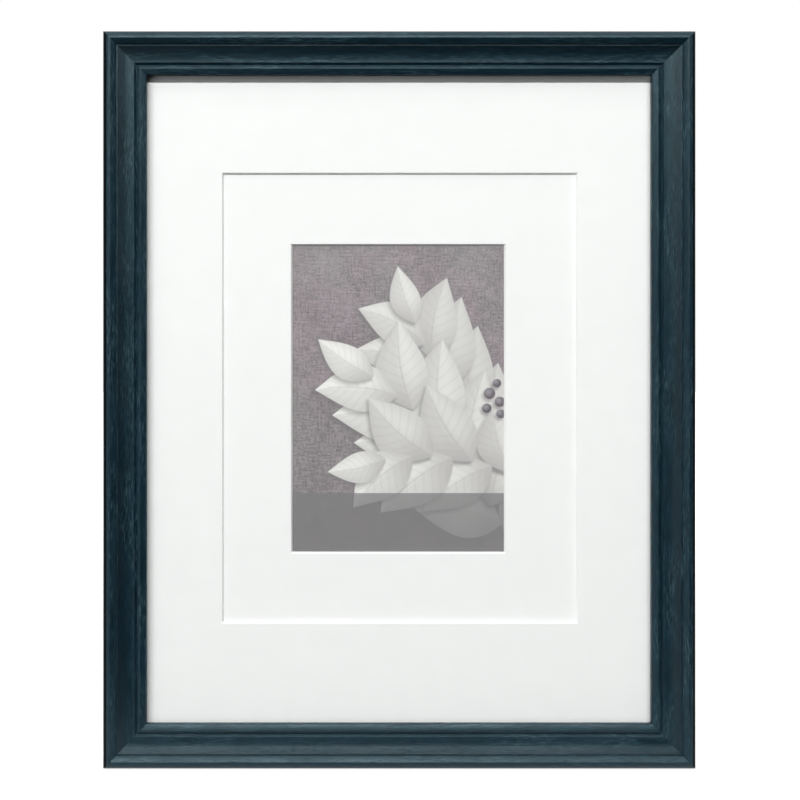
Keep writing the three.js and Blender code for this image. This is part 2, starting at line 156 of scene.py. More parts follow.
class NodeWriter:
    """Adds nodes to a tree and links them, so that a finish or a shape reads as a list of steps."""

    def __init__(self, tree: Tree) -> None:
        """Start on a tree, which may hold nodes already."""
        self.tree = tree

    def feed(self, socket: Plug, value: Value) -> None:
        """Link an output to an input, or set the input to a plain value.

        Args:
            socket: the input.
            value: an output, a list of outputs, a number, a vector, a colour or a data block.
        """
        if isinstance(value, list):
            for item in value:
                self.tree.links.new(item, socket)
        elif isinstance(value, Plug):
            self.tree.links.new(value, socket)
        elif socket.type == "RGBA" and len(value) == 3:
            socket.default_value = (*value, 1.0)
        else:
            socket.default_value = value

    def add(self, kind: str, inputs: Inputs | None = None, **settings: object) -> bpy.types.Node:
        """Add a node.

        Args:
            kind: the node's type.
            inputs: what goes into its sockets, by their name or number.
            settings: the node's own settings.

        Returns:
            The node.
        """
        node = self.tree.nodes.new(kind)
        for name, setting in settings.items():
            setattr(node, name, setting)
        for name, value in (inputs or {}).items():
            self.feed(node.inputs[name], value)
        return node

    def take(self, kind: str, inputs: Inputs | None = None, **settings: object) -> Plug:
        """Add a node and take its first output."""
        return self.add(kind, inputs, **settings).outputs[0]

    def group(self, tree: Tree, inputs: Inputs) -> bpy.types.NodeOutputs:
        """Place a node group.

        Args:
            tree: the group's own tree.
            inputs: what goes into its named inputs.

        Returns:
            The group's outputs.
        """
        kind = tree.bl_idname.replace("Tree", "Group")
        return self.add(kind, inputs, node_tree=tree).outputs

    def math(self, operation: str, *values: Value) -> Plug:
        """The result of one sum on numbers."""
        return self.take("ShaderNodeMath", dict(enumerate(values)), operation=operation)

    def vector(self, operation: str, *values: Value) -> Plug:
        """The result of one sum on vectors, a number for a length or a dot product."""
        node = self.add("ShaderNodeVectorMath", dict(enumerate(values)), operation=operation)
        return node.outputs["Value" if operation in ("LENGTH", "DOT_PRODUCT") else "Vector"]

    def scaled(self, vector: Value, factor: Value) -> Plug:
        """A vector times a number."""
        return self.take("ShaderNodeVectorMath", {0: vector, "Scale": factor}, operation="SCALE")

    def separate(self, vector: Value) -> list[Plug]:
        """The three parts of a vector."""
        return list(self.add("ShaderNodeSeparateXYZ", {0: vector}).outputs)

    def combine(self, x: Value, y: Value, z: Value) -> Plug:
        """A vector from its three parts."""
        return self.take("ShaderNodeCombineXYZ", {0: x, 1: y, 2: z})

    def spread(
        self,
        value: Value,
        low: Value,
        high: Value,
        first: Value = 0.0,
        last: Value = 1.0,
        smooth: bool = True,
    ) -> Plug:
        """Carry a value from one range over to another, held at its ends.

        Args:
            value: the value.
            low: where the old range starts.
            high: where the old range ends.
            first: what the start becomes.
            last: what the end becomes.
            smooth: whether it eases in and out.

        Returns:
            The new value.
        """
        ranges = {"Value": value, "From Min": low, "From Max": high, "To Min": first, "To Max": last}
        kind = "SMOOTHSTEP" if smooth else "LINEAR"
        return self.add("ShaderNodeMapRange", ranges, interpolation_type=kind).outputs["Result"]

    def noise(self, point: Value, size: Sequence[float], detail: float = 2.0, rough: float = 0.5) -> Plug:
        """Soft noise, about 0.5.

        Args:
            point: where, in the unit that the size is in.
            size: how long a feature is along each axis.
            detail: how many finer layers it has.
            rough: how strong the finer layers are.

        Returns:
            The noise value.
        """
        stretched = self.vector("DIVIDE", point, tuple(size))
        settings = {"Vector": stretched, "Scale": 1.0, "Detail": detail, "Roughness": rough}
        return self.add("ShaderNodeTexNoise", settings).outputs["Fac"]

    def blend(self, share: Value, first: Value, second: Value) -> Plug:
        """The mix of two colours, all the first one at a share of 0."""
        return self.add("ShaderNodeMix", {0: share, 6: first, 7: second}, data_type="RGBA").outputs[2]

    def bump(self, height: Value, depth: float, strength: float) -> Plug:
        """A normal bent by a height that runs from 0 to 1 over a depth in metres."""
        settings = {"Height": height, "Distance": depth, "Strength": strength}
        return self.add("ShaderNodeBump", settings).outputs["Normal"]

    def place(self) -> Plug:
        """The point on the piece, in millimetres."""
        coordinates = self.add("ShaderNodeTexCoord").outputs["Object"]
        return self.scaled(coordinates, 1.0 / MM)

    def solid(self, operation: str, inputs: Inputs) -> Plug:
        """The exact union or difference of meshes."""
        return self.take("GeometryNodeMeshBoolean", inputs, operation=operation, solver="EXACT")

    def finished(self, geometry: Value, material: Value) -> Plug:
        """Make instances real and give the mesh its material."""
        real = self.take("GeometryNodeRealizeInstances", {"Geometry": geometry})
        return self.take("GeometryNodeSetMaterial", {"Geometry": real, "Material": material})


class Group:
    """A node group with named inputs and outputs, to be filled by its writer."""

    def __init__(
        self, name: str, inputs: Sockets, outputs: Sockets, kind: TreeKind = TreeKind.SHADER
    ) -> None:
        """Make the group's tree and sockets.

        Args:
            name: the group's name.
            inputs: kinds of its inputs by name.
            outputs: kinds of its outputs by name.
            kind: the kind of tree.
        """
        self.tree = bpy.data.node_groups.new(name, kind.value)
        for direction, sockets in (("INPUT", inputs), ("OUTPUT", outputs)):
            for socket, form in sockets.items():
                self.tree.interface.new_socket(socket, in_out=direction, socket_type=form.value)
        self.write = NodeWriter(self.tree)
        self.given = self.write.add("NodeGroupInput").outputs
        self.out = self.write.add("NodeGroupOutput").inputs

    def give(self, **results: Plug) -> Tree:
        """Link the results to the outputs.

        Args:
            results: outputs by name, with _ for a space.

        Returns:
            The finished tree.
        """
        for name, result in results.items():
            self.write.feed(self.out[name.replace("_", " ")], result)
        return self.tree


@cache
def wood_grain() -> Tree:
    """Grain of a plain-sawn rail, on a point that runs along, through and across it in millimetres.

    Returns:
        The tree.
    """
    outputs = dict.fromkeys(("Figure", "Fleck", "Pore", "Height"), Socket.NUMBER)
    group = Group("wood_grain", {"Point": Socket.VECTOR}, outputs)
    write, point = group.write, group.given["Point"]
    pith, ring_pitch, ring_wander = (0.0, 26.0, 9.0), 1.9, 6.5
    wander_size, streak_size, patch_size = (70.0, 30.0, 26.0), (20.0, 0.5, 0.5), (40.0, 6.0, 6.0)
    fleck_size, pore_size = (5.2, 0.36, 0.36), (3.4, 0.28, 0.28)
    wander = write.noise(point, wander_size)
    _, through, across = write.separate(write.vector("ADD", point, pith))
    radius = write.vector("LENGTH", write.combine(0.0, through, across))
    phase = write.math("MULTIPLY_ADD", wander, ring_wander, write.math("DIVIDE", radius, ring_pitch))
    ring = write.math("SINE", write.math("MULTIPLY", phase, 2 * math.pi))
    streak = write.noise(point, streak_size, 3.0, 0.6)
    figure = write.math("MULTIPLY_ADD", ring, 0.14, streak)
    fleck = write.spread(write.noise(point, fleck_size, rough=0.55), 0.48, 0.66)
    patch = write.spread(write.noise(point, patch_size), 0.36, 0.64, 0.4, 1.0)
    wide_ring = write.math("SINE", write.math("MULTIPLY", phase, 2 * math.pi / 3))
    porous = write.spread(wide_ring, -0.2, 0.9, 0.25, 1.0)
    fleck = write.math("MULTIPLY", fleck, write.math("MULTIPLY", patch, porous))
    pore = write.spread(write.noise(point, pore_size, 1.0), 0.58, 0.70)
    raised = write.math("MULTIPLY_ADD", fleck, 0.35, write.math("MULTIPLY", figure, 0.5))
    height = write.math("MULTIPLY_ADD", pore, -0.55, raised)
    return group.give(Figure=write.spread(figure, 0.3, 0.72), Fleck=fleck, Pore=pore, Height=height)


@cache
def fibres() -> Tree:
    """Fibres of paper and board, on a point in millimetres.

    Returns:
        The tree.
    """
    outputs = {"Tone": Socket.NUMBER, "Height": Socket.NUMBER}
    group = Group("fibres", {"Point": Socket.VECTOR, "Length": Socket.NUMBER}, outputs)
    write = group.write
    point = write.vector("DIVIDE", group.given["Point"], write.combine(*[group.given["Length"]] * 3))
    level = write.noise(point, (1.0, 1.0, 0.12), 3.0, 0.6)
    upright = write.noise(point, (0.12, 1.0, 1.0), 3.0, 0.6)
    clouds = write.noise(point, (9.0, 9.0, 9.0), 2.0)
    height = write.math("MULTIPLY", write.math("ADD", level, upright), 0.5)
    tone = write.math("MULTIPLY_ADD", clouds, 0.5, write.math("MULTIPLY", height, 0.5))
    return group.give(Tone=write.spread(tone, 0.3, 0.7), Height=height)


@cache
def scuffs() -> Tree:
    """Fine rubbing marks in two directions, on a point in millimetres.

    Returns:
        The tree.
    """
    group = Group("scuffs", {"Point": Socket.VECTOR}, {"Mark": Socket.NUMBER, "Cloud": Socket.NUMBER})
    write, point = group.write, group.given["Point"]
    slant = {"Vector": point, "Angle": 0.6}
    turned = write.take("ShaderNodeVectorRotate", slant, rotation_type="Y_AXIS")
    first = write.spread(write.noise(turned, (6.0, 6.0, 0.09), 2.0), 0.6, 0.74)
    second = write.spread(write.noise(turned, (0.11, 6.0, 7.0), 2.0), 0.64, 0.76)
    cloud = write.noise(point, (3.0, 3.0, 3.0), 3.0)
    return group.give(Mark=write.math("MAXIMUM", first, second), Cloud=cloud)


@cache
def dust() -> Tree:
    """Thin uneven dust, on a point in millimetres.

    Returns:
        The tree.
    """
    group = Group("dust", {"Point": Socket.VECTOR}, {"Cover": Socket.NUMBER})
    write, point = group.write, group.given["Point"]
    drift = write.spread(write.noise(point, (14.0, 14.0, 14.0), 4.0, 0.6), 0.4, 0.75)
    speck = write.spread(write.noise(point, (0.35, 0.35, 0.35), 1.0), 0.6, 0.8)
    return group.give(Cover=write.math("MULTIPLY_ADD", speck, 0.5, write.math("MULTIPLY", drift, 0.5)))


PRINT_SHADOW = (0.105, 0.095, 0.10)
LEAF_INPUTS = {
    "Point": Socket.VECTOR,
    "Foot": Socket.VECTOR,
    "Angle": Socket.NUMBER,
    "Length": Socket.NUMBER,
    "Half Width": Socket.NUMBER,
    "Bow": Socket.NUMBER,
}


@cache
def leaf_outline() -> Tree:
    """A pointed leaf on a flat picture, with the place within it along and across.

    Returns:
        The tree.
    """
    outputs = dict.fromkeys(("Cover", "Along", "Across"), Socket.NUMBER)
    group = Group("leaf_outline", LEAF_INPUTS | {"Soft Edge": Socket.NUMBER}, outputs)
    write, given = group.write, group.given
    from_foot = write.vector("SUBTRACT", given["Point"], given["Foot"])
    unturned = {"Vector": from_foot, "Angle": write.math("MULTIPLY", given["Angle"], -1.0)}
    local = write.take("ShaderNodeVectorRotate", unturned, rotation_type="Z_AXIS")
    forward, aside, _ = write.separate(local)
    share = write.math("DIVIDE", forward, given["Length"])
    along = write.math("MINIMUM", write.math("MAXIMUM", share, 0.0), 1.0)
    arch = write.math("MULTIPLY", write.math("SUBTRACT", along, write.math("MULTIPLY", along, along)), 4.0)
    from_rib = write.math("SUBTRACT", aside, write.math("MULTIPLY", arch, given["Bow"]))
    swell = write.math("SINE", write.math("MULTIPLY", write.math("POWER", along, 0.8), math.pi))
    reach = write.math("MULTIPLY", swell, given["Half Width"])
    overshoot = write.math("ABSOLUTE", write.math("SUBTRACT", share, along))
    past_end = write.math("MULTIPLY", overshoot, given["Length"])
    beside = write.math("ADD", write.math("ABSOLUTE", from_rib), past_end)
    inside = write.math("SUBTRACT", reach, beside)
    cover = write.spread(inside, write.math("MULTIPLY", given["Soft Edge"], -1.0), given["Soft Edge"])
    across = write.math("DIVIDE", from_rib, write.math("MAXIMUM", reach, 0.01))
    return group.give(Cover=cover, Along=along, Across=across)


def after_under(group: Group) -> Plug:
    """The group's point, worked out only after the colour under it.

    A chain of many layers would otherwise work out all its masks at once, and outgrow the renderer's stack.

    Args:
        group: a group with inputs Point and Under.

    Returns:
        The point, moved by far less than a thread.
    """
    hair = (1e-6, 1e-6, 0.0)
    return group.write.vector("MULTIPLY_ADD", group.given["Under"], hair, group.given["Point"])


@cache
def leaf() -> Tree:
    """A pale veined leaf with its soft shadow, laid over the colour under it.

    Returns:
        The tree.
    """
    light, shade = (0.80, 0.79, 0.765), (0.30, 0.285, 0.285)
    shadow_offset, shadow_edge, shadow_share = (-1.0, -1.8, 0.0), 2.4, 0.62
    cut_edge, veins, vein_slant = 0.3, 9.0, -1.7
    inputs = {"Under": Socket.COLOUR} | LEAF_INPUTS | {"Tone": Socket.NUMBER}
    group = Group("leaf", inputs, {"Colour": Socket.COLOUR})
    write, given = group.write, group.given
    form = {name: given[name] for name in LEAF_INPUTS}
    form["Point"] = after_under(group)
    shadow_foot = write.vector("ADD", given["Foot"], shadow_offset)
    shadow = write.group(leaf_outline(), form | {"Foot": shadow_foot, "Soft Edge": shadow_edge})
    shadow_cover = write.math("MULTIPLY", shadow["Cover"], shadow_share)
    shaded = write.blend(shadow_cover, given["Under"], PRINT_SHADOW)
    blade = write.group(leaf_outline(), form | {"Soft Edge": cut_edge})
    off_rib = write.math("ABSOLUTE", blade["Across"])
    fold = write.spread(blade["Across"], -0.25, 0.25, 1.0, 0.7)
    rise = write.spread(blade["Along"], 0.0, 0.5, 0.5, 1.0)
    rib = write.spread(off_rib, 0.0, 0.07, 0.74, 1.0)
    slant = write.math("MULTIPLY_ADD", off_rib, vein_slant, write.math("MULTIPLY", blade["Along"], veins))
    ripple = write.math("SINE", write.math("MULTIPLY", slant, 2 * math.pi))
    vein = write.spread(ripple, 0.55, 1.0, 1.0, 0.87)
    cup = write.spread(off_rib, 0.35, 1.0, 1.0, 0.8)
    lit = given["Tone"]
    for effect in (fold, rise, rib, vein, cup):
        lit = write.math("MULTIPLY", lit, effect)
    return group.give(Colour=write.blend(blade["Cover"], shaded, write.blend(lit, shade, light)))


@cache
def berry() -> Tree:
    """A small dark berry with a bloom, laid over the colour under it.

    Returns:
        The tree.
    """
    skin, bloom = (0.050, 0.038, 0.048), (0.24, 0.22, 0.245)
    shadow_offset, light_offset = (0.9, 1.4, 0.0), (0.7, -0.9, 0.0)
    inputs = {"Under": Socket.COLOUR} | dict.fromkeys(("Point", "Centre"), Socket.VECTOR)
    group = Group("berry", inputs | {"Radius": Socket.NUMBER}, {"Colour": Socket.COLOUR})
    write, given = group.write, group.given
    out = write.vector("SUBTRACT", after_under(group), given["Centre"])
    away = write.math("DIVIDE", write.vector("LENGTH", out), given["Radius"])
    below = write.vector("LENGTH", write.vector("ADD", out, shadow_offset))
    shadow = write.spread(write.math("DIVIDE", below, given["Radius"]), 0.5, 1.5, 0.6, 0.0)
    from_light = write.vector("LENGTH", write.vector("ADD", out, light_offset))
    lit = write.spread(write.math("DIVIDE", from_light, given["Radius"]), 0.0, 1.2, 1.0, 0.0)
    under = write.blend(shadow, given["Under"], PRINT_SHADOW)
    cover = write.spread(away, 0.9, 1.05, 1.0, 0.0)
    return group.give(Colour=write.blend(cover, under, write.blend(lit, skin, bloom)))


@dataclass(frozen=True)
class Finish(ABC):
    """A finish that lays its own nodes round a Principled shader, once."""

    name: str

    @abstractmethod
    def lay(self, write: NodeWriter, shader: bpy.types.Node) -> None:
        """Write the nodes that feed the shader.

        Args:
            write: the writer of the material's tree.
            shader: the Principled node.
        """

    @cache
    def material(self) -> bpy.types.Material:
        """The finish as a material.

        Returns:
            The material, the same one each time.
        """
        material = bpy.data.materials.new(self.name)
        material.use_nodes = True
        material.node_tree.nodes.clear()
        write = NodeWriter(material.node_tree)
        shader = write.add("ShaderNodeBsdfPrincipled")
        write.add("ShaderNodeOutputMaterial", {"Surface": shader.outputs["BSDF"]})
        self.lay(write, shader)
        return material

    def dress(self, *nodes: str) -> None:
        """Give the finish to CAD nodes that stay in view.

        Args:
            nodes: their names.
        """
        for node in nodes:
            mesh = frame["nodes"][node].data
            mesh.materials.clear()
            mesh.materials.append(self.material())
            log.info("%s: kept, finish %s", node, self.name)


@dataclass(frozen=True)
class GrainPaint(Finish):
    """Dark satin paint sunk into open grain, rubbed a little on the arrises, with shade painted into the
    cove.
    """

    name: str = "grain_paint"
    deep: Colour = (0.0010, 0.0095, 0.0174)
    body: Colour = (0.0028, 0.0172, 0.0284)
    fleck: Colour = (0.0370, 0.0770, 0.0960)
    # painted shade: the dark colour laid where the cove starts under the fillet's step
    glaze: Colour = (0.0003, 0.0040, 0.0080)
    rubbed: Colour = (0.060, 0.080, 0.090)
    shine: Colour = (0.68, 0.93, 1.0)
    specular: float = 0.38
    bump_depth: float = 0.10 * MM
    fleck_share: float = 0.95
    pore_share: float = 0.7
    glaze_share: float = 0.8
    rubbed_share: float = 0.4
    smooth: float = 0.36
    dull: float = 0.45
    pore_dulling: float = 0.15

    def lay(self, write: NodeWriter, shader: bpy.types.Node) -> None:
        """Write the nodes that feed the shader, on the rail's own marks for grain, painted cove shade and
        arrises.

        Args:
            write: the writer of the material\'s tree.
            shader: the Principled node.
        """
        along = write.add("ShaderNodeAttribute", attribute_name="grain").outputs["Vector"]
        point = write.scaled(along, 1.0 / MM)
        arris = write.add("ShaderNodeAttribute", attribute_name="arris").outputs["Fac"]
        wood = write.group(wood_grain(), {"Point": point})
        colour = write.blend(wood["Figure"], self.deep, self.body)
        colour = write.blend(write.math("MULTIPLY", wood["Fleck"], self.fleck_share), colour, self.fleck)
        colour = write.blend(write.math("MULTIPLY", wood["Pore"], self.pore_share), colour, self.deep)
        # Painted shade: the paint darkens where the cove starts, in the recess under the fillet's step, and
        # fades along the cove.
        hollow = write.add("ShaderNodeAttribute", attribute_name="hollow").outputs["Fac"]
        colour = write.blend(write.math("MULTIPLY", hollow, self.glaze_share), colour, self.glaze)
        chafe = write.spread(write.noise(point, (9.0, 1.2, 1.2), 3.0, 0.6), 0.45, 0.75)
        worn = write.math("MULTIPLY", write.math("MULTIPLY", arris, chafe), self.rubbed_share)
        colour = write.blend(worn, colour, self.rubbed)
        write.feed(shader.inputs["Base Color"], colour)
        shader.inputs["Specular IOR Level"].default_value = self.specular
        shader.inputs["Specular Tint"].default_value = (*self.shine, 1.0)
        patches = write.noise(point, (30.0, 4.0, 4.0), 3.0)
        dull = write.spread(patches, 0.3, 0.7, self.smooth, self.dull)
        dull = write.math("MULTIPLY_ADD", wood["Pore"], self.pore_dulling, dull)
        write.feed(shader.inputs["Roughness"], dull)
        write.feed(shader.inputs["Normal"], write.bump(wood["Height"], self.bump_depth, 0.5))


@dataclass(frozen=True)
class ClearGlass(Finish):
    """Clear float glass, with a trace of green, that light passes to reach the mats."""

    name: str = "clear_float_glass"
    tint: Colour = (0.989, 0.9945, 0.991)
    refraction: float = 1.5

    def lay(self, write: NodeWriter, shader: bpy.types.Node) -> None:
        """Set the glass, and let shadow and diffuse rays straight through.

        Args:
            write: the writer of the material\'s tree.
            shader: the Principled node.
        """
        write.feed(shader.inputs["Base Color"], self.tint)
        shader.inputs["Metallic"].default_value = 0.0
        shader.inputs["Roughness"].default_value = 0.0
        shader.inputs["IOR"].default_value = self.refraction
        shader.inputs["Transmission Weight"].default_value = 1.0
        path = write.add("ShaderNodeLightPath").outputs
        through = write.math("MAXIMUM", path["Is Shadow Ray"], path["Is Diffuse Ray"])
        clear = write.take("ShaderNodeBsdfTransparent", {"Color": self.tint})
        seen = write.take("ShaderNodeMixShader", {0: through, 1: shader.outputs["BSDF"], 2: clear})
        output = next(node for node in write.tree.nodes if node.bl_idname == "ShaderNodeOutputMaterial")
        write.feed(output.inputs["Surface"], seen)


@dataclass(frozen=True)
class Board(Finish):
    """Paper or board with its fibres."""

    name: str = "mat_facing"
    low: Colour = (0.87, 0.872, 0.868)
    high: Colour = (0.90, 0.90, 0.897)
    fibre_length: float = 1.1
    roughness: float = 0.85
    specular: float = 0.25
    bump_depth: float = 0.03 * MM
    dust_share: float = 0.0
    dust_colour: Colour = (0.35, 0.34, 0.33)
    unevenness: float = 0.06

    def lay(self, write: NodeWriter, shader: bpy.types.Node) -> None:
        """Write the nodes that feed the shader.

        Args:
            write: the writer of the material\'s tree.
            shader: the Principled node.
        """
        point = write.place()
        felt = write.group(fibres(), {"Point": point, "Length": self.fibre_length})
        colour = write.blend(felt["Tone"], self.low, self.high)
        if self.dust_share:
            cover = write.group(dust(), {"Point": point})["Cover"]
            colour = write.blend(write.math("MULTIPLY", cover, self.dust_share), colour, self.dust_colour)
        write.feed(shader.inputs["Base Color"], colour)
        low, high = self.roughness - self.unevenness, self.roughness + self.unevenness
        dull = write.spread(felt["Height"], 0.3, 0.7, low, high)
        write.feed(shader.inputs["Roughness"], dull)
        shader.inputs["Specular IOR Level"].default_value = self.specular
        write.feed(shader.inputs["Normal"], write.bump(felt["Height"], self.bump_depth, 0.6))


@dataclass(frozen=True)
class Plating(Finish):
    """Plated or bare metal, clouded and rubbed."""

    name: str = "zinc_plating"
    low: Colour = (0.43, 0.44, 0.45)
    high: Colour = (0.55, 0.56, 0.56)
    smooth: float = 0.24
    dull: float = 0.46
    mark_dulling: float = 0.12
    mark_depth: float = 0.01 * MM

    def lay(self, write: NodeWriter, shader: bpy.types.Node) -> None:
        """Write the nodes that feed the shader.

        Args:
            write: the writer of the material\'s tree.
            shader: the Principled node.
        """
        point = write.place()
        rub = write.group(scuffs(), {"Point": point})
        cloud = write.spread(rub["Cloud"], 0.35, 0.65)
        write.feed(shader.inputs["Base Color"], write.blend(cloud, self.low, self.high))
        shader.inputs["Metallic"].default_value = 1.0
        sheen = write.spread(rub["Cloud"], 0.3, 0.7, self.smooth, self.dull)
        dull = write.math("MULTIPLY_ADD", rub["Mark"], self.mark_dulling, sheen)
        write.feed(shader.inputs["Roughness"], dull)
        write.feed(shader.inputs["Normal"], write.bump(rub["Mark"], -self.mark_depth, 0.6))


@dataclass(frozen=True)
class Rubber(Finish):
    """Dull dark rubber with a little dust on it."""

    name: str = "bumper_rubber"
    body: Colour = (0.018, 0.018, 0.019)
    worn: Colour = (0.045, 0.045, 0.046)
    dust_colour: Colour = (0.16, 0.155, 0.15)
    dust_share: float = 0.3
    smooth: float = 0.55
    dull: float = 0.75
    bump_depth: float = 0.03 * MM

    def lay(self, write: NodeWriter, shader: bpy.types.Node) -> None:
        """Write the nodes that feed the shader.

        Args:
            write: the writer of the material\'s tree.
            shader: the Principled node.
        """
        point = write.place()
        pebble = write.noise(point, (0.3, 0.3, 0.3), 2.0)
        colour = write.blend(write.spread(pebble, 0.35, 0.65), self.body, self.worn)
        cover = write.math("MULTIPLY", write.group(dust(), {"Point": point})["Cover"], self.dust_share)
        write.feed(shader.inputs["Base Color"], write.blend(cover, colour, self.dust_colour))
        write.feed(shader.inputs["Roughness"], write.spread(pebble, 0.3, 0.7, self.smooth, self.dull))
        write.feed(shader.inputs["Normal"], write.bump(pebble, self.bump_depth, 0.5))


@dataclass(frozen=True)
class Leaf:
    """One leaf, in millimetres on the print."""

    foot: Point
    angle: float
    length: float
    half_width: float
    bow: float
    tone: float

    def inputs(self) -> dict[str, Value]:
        """The leaf as inputs of its node group."""
        return {
            "Foot": (*self.foot, 0.0),
            "Angle": self.angle,
            "Length": self.length,
            "Half Width": self.half_width,
            "Bow": self.bow,
            "Tone": self.tone,
        }


@dataclass(frozen=True)
class Sprig:
    """A bowed stem with leaves to either side, in millimetres on the print, its heading in degrees."""

    foot: Point
    heading: float
    length: float
    bow: float
    pairs: int
    leaf_length: float
    leaf_half_width: float
    tone: float

    def point(self, share: float) -> Point:
        """A point on the stem.

        Args:
            share: how far along the stem it is, from 0 at the foot to 1.

        Returns:
            The point.
        """
        turn = math.radians(self.heading)
        forward, aside = self.length * share, 4 * self.bow * share * (1 - share)
        return (
            self.foot[0] + forward * math.cos(turn) - aside * math.sin(turn),
            self.foot[1] + forward * math.sin(turn) + aside * math.cos(turn),
        )

    def direction(self, share: float) -> float:
        """The way that the stem runs at a point of it, as an angle."""
        return math.radians(self.heading) + math.atan2(4 * self.bow * (1 - 2 * share), self.length)

    def leaves(self) -> Iterator[Leaf]:
        """The stem, its side leaves from the foot upwards, and the leaf at its tip.

        Returns:
            The leaves, the lowest layer first.
        """
        stem_half_width, stem_tone = 0.9, 0.35
        lowest, span, tip = 0.16, 0.74, 0.93
        side_bow, tip_bow = 3.0, 1.5
        yield Leaf(self.foot, math.radians(self.heading), self.length, stem_half_width, self.bow, stem_tone)
        for step in range(2 * self.pairs):
            share = lowest + span * step / (2 * self.pairs)
            hand = 1 if step % 2 else -1
            grown = 0.72 + 0.5 * math.sin(math.pi * share)
            angle = self.direction(share) + math.radians(58 - 26 * share) * hand
            tone = self.tone * (0.9 + 0.1 * hand) * (0.86 + 0.2 * share)
            sizes = (self.leaf_length * grown, self.leaf_half_width * grown)
            yield Leaf(self.point(share), angle, *sizes, -side_bow * hand, tone)
        sizes = (self.leaf_length * 0.8, self.leaf_half_width * 0.7)
        yield Leaf(self.point(tip), self.direction(1.0), *sizes, tip_bow, self.tone)


@dataclass(frozen=True)
class SprigPrint(Finish):
    """A matt print: pale leaf sprigs on a linen ground, over a plain band along the foot."""

    name: str = "sprig_print"
    centre: tuple[float, float, float] = (0.0, 0.0, 0.0)
    ground_low: Colour = (0.074, 0.064, 0.069)
    ground_high: Colour = (0.300, 0.262, 0.275)
    cool: Colour = (0.97, 1.01, 0.99)
    warm: Colour = (1.03, 0.97, 1.01)
    band: Colour = (0.130, 0.128, 0.132)
    band_top: float = -50.6
    band_share: float = 0.8
    band_edge: float = 0.2
    fibre_length: float = 0.8
    smooth: float = 0.5
    dull: float = 0.62
    bump_depth: float = 0.02 * MM
    sprigs: tuple[Sprig, ...] = (
        Sprig((66.0, -28.0), 128.0, 96.0, 9.0, 4, 40.0, 11.5, 0.80),
        Sprig((70.0, -100.0), 128.0, 150.0, -12.0, 5, 45.0, 13.0, 1.0),
        Sprig((74.0, -46.0), 172.0, 88.0, -8.0, 3, 40.0, 12.0, 0.92),
    )
    berries: tuple[tuple[float, float, float], ...] = (
        (49.0, 3.0, 3.1),
        (54.5, -1.5, 2.8),
        (47.5, -5.0, 2.6),
        (53.0, 8.5, 2.3),
        (55.0, -8.0, 2.4),
    )

    def lay(self, write: NodeWriter, shader: bpy.types.Node) -> None:
        """Write the nodes that feed the shader, layer by layer from the ground up.

        Args:
            write: the writer of the material\'s tree.
            shader: the Principled node.
        """
        place = write.vector("SUBTRACT", write.place(), self.centre)
        x, _, z = write.separate(place)
        point = write.combine(x, z, 0.0)
        weft = write.noise(point, (6.0, 1.0, 1.0), 2.0, 0.6)
        warp = write.noise(point, (1.0, 6.0, 1.0), 2.0, 0.6)
        specks = write.noise(point, (1.0, 1.0, 1.0), 1.0)
        clouds = write.noise(point, (26.0, 20.0, 1.0), 3.0)
        cloth = write.math("ADD", write.math("ADD", weft, warp), specks)
        tone = write.math("ADD", cloth, write.math("MULTIPLY", clouds, 0.7))
        picture = write.blend(write.spread(tone, 1.4, 2.3, smooth=False), self.ground_low, self.ground_high)
        hue = write.spread(write.noise(point, (34.0, 60.0, 1.0), 2.0), 0.35, 0.65)
        picture = write.vector("MULTIPLY", picture, write.blend(hue, self.cool, self.warm))
        for sprig in self.sprigs:
            for blade in sprig.leaves():
                inputs = {"Under": picture, "Point": point} | blade.inputs()
                picture = write.group(leaf(), inputs)["Colour"]
        for across, up, radius in self.berries:
            inputs = {"Under": picture, "Point": point, "Centre": (across, up, 0.0), "Radius": radius}
            picture = write.group(berry(), inputs)["Colour"]
        low, high = self.band_top - self.band_edge, self.band_top + self.band_edge
        in_band = write.spread(z, low, high, self.band_share, 0.0)
        write.feed(shader.inputs["Base Color"], write.blend(in_band, picture, self.band))
        felt = write.group(fibres(), {"Point": place, "Length": self.fibre_length})
        dull = write.spread(felt["Height"], 0.3, 0.7, self.smooth, self.dull)
        write.feed(shader.inputs["Roughness"], dull)
        write.feed(shader.inputs["Normal"], write.bump(felt["Height"], self.bump_depth, 0.5))


@dataclass(frozen=True)
class PaleFloor(Finish):
    """A pale matt floor that keeps the object's shadow and turns white further off."""

    name: str = "pale_floor"
    tone: Colour = (0.62, 0.62, 0.62)
    bounce: Colour = (0.10, 0.10, 0.10)
    near: float = 0.40
    lift_near: float = 0.50
    far: float = 0.9
    roughness: float = 0.9

    def lay(self, write: NodeWriter, shader: bpy.types.Node) -> None:
        """Write the nodes that feed the shader, with a lift that only seen rays meet.

        Args:
            write: the writer of the material\'s tree.
            shader: the Principled node.
        """
        shader.inputs["Roughness"].default_value = self.roughness
        shader.inputs["Specular IOR Level"].default_value = 0.0
        path = write.add("ShaderNodeLightPath").outputs
        seen = write.math("MAXIMUM", path["Is Glossy Ray"], path["Is Transmission Ray"])
        seen = write.math("MAXIMUM", path["Is Camera Ray"], seen)
        write.feed(shader.inputs["Base Color"], write.blend(seen, self.bounce, self.tone))
        place = write.add("ShaderNodeTexCoord").outputs["Object"]
        away = write.spread(write.vector("LENGTH", place), self.near, self.far, self.lift_near, 1.0)
        write.feed(shader.inputs["Emission Color"], (1.0, 1.0, 1.0))
        write.feed(shader.inputs["Emission Strength"], write.math("MULTIPLY", seen, away))


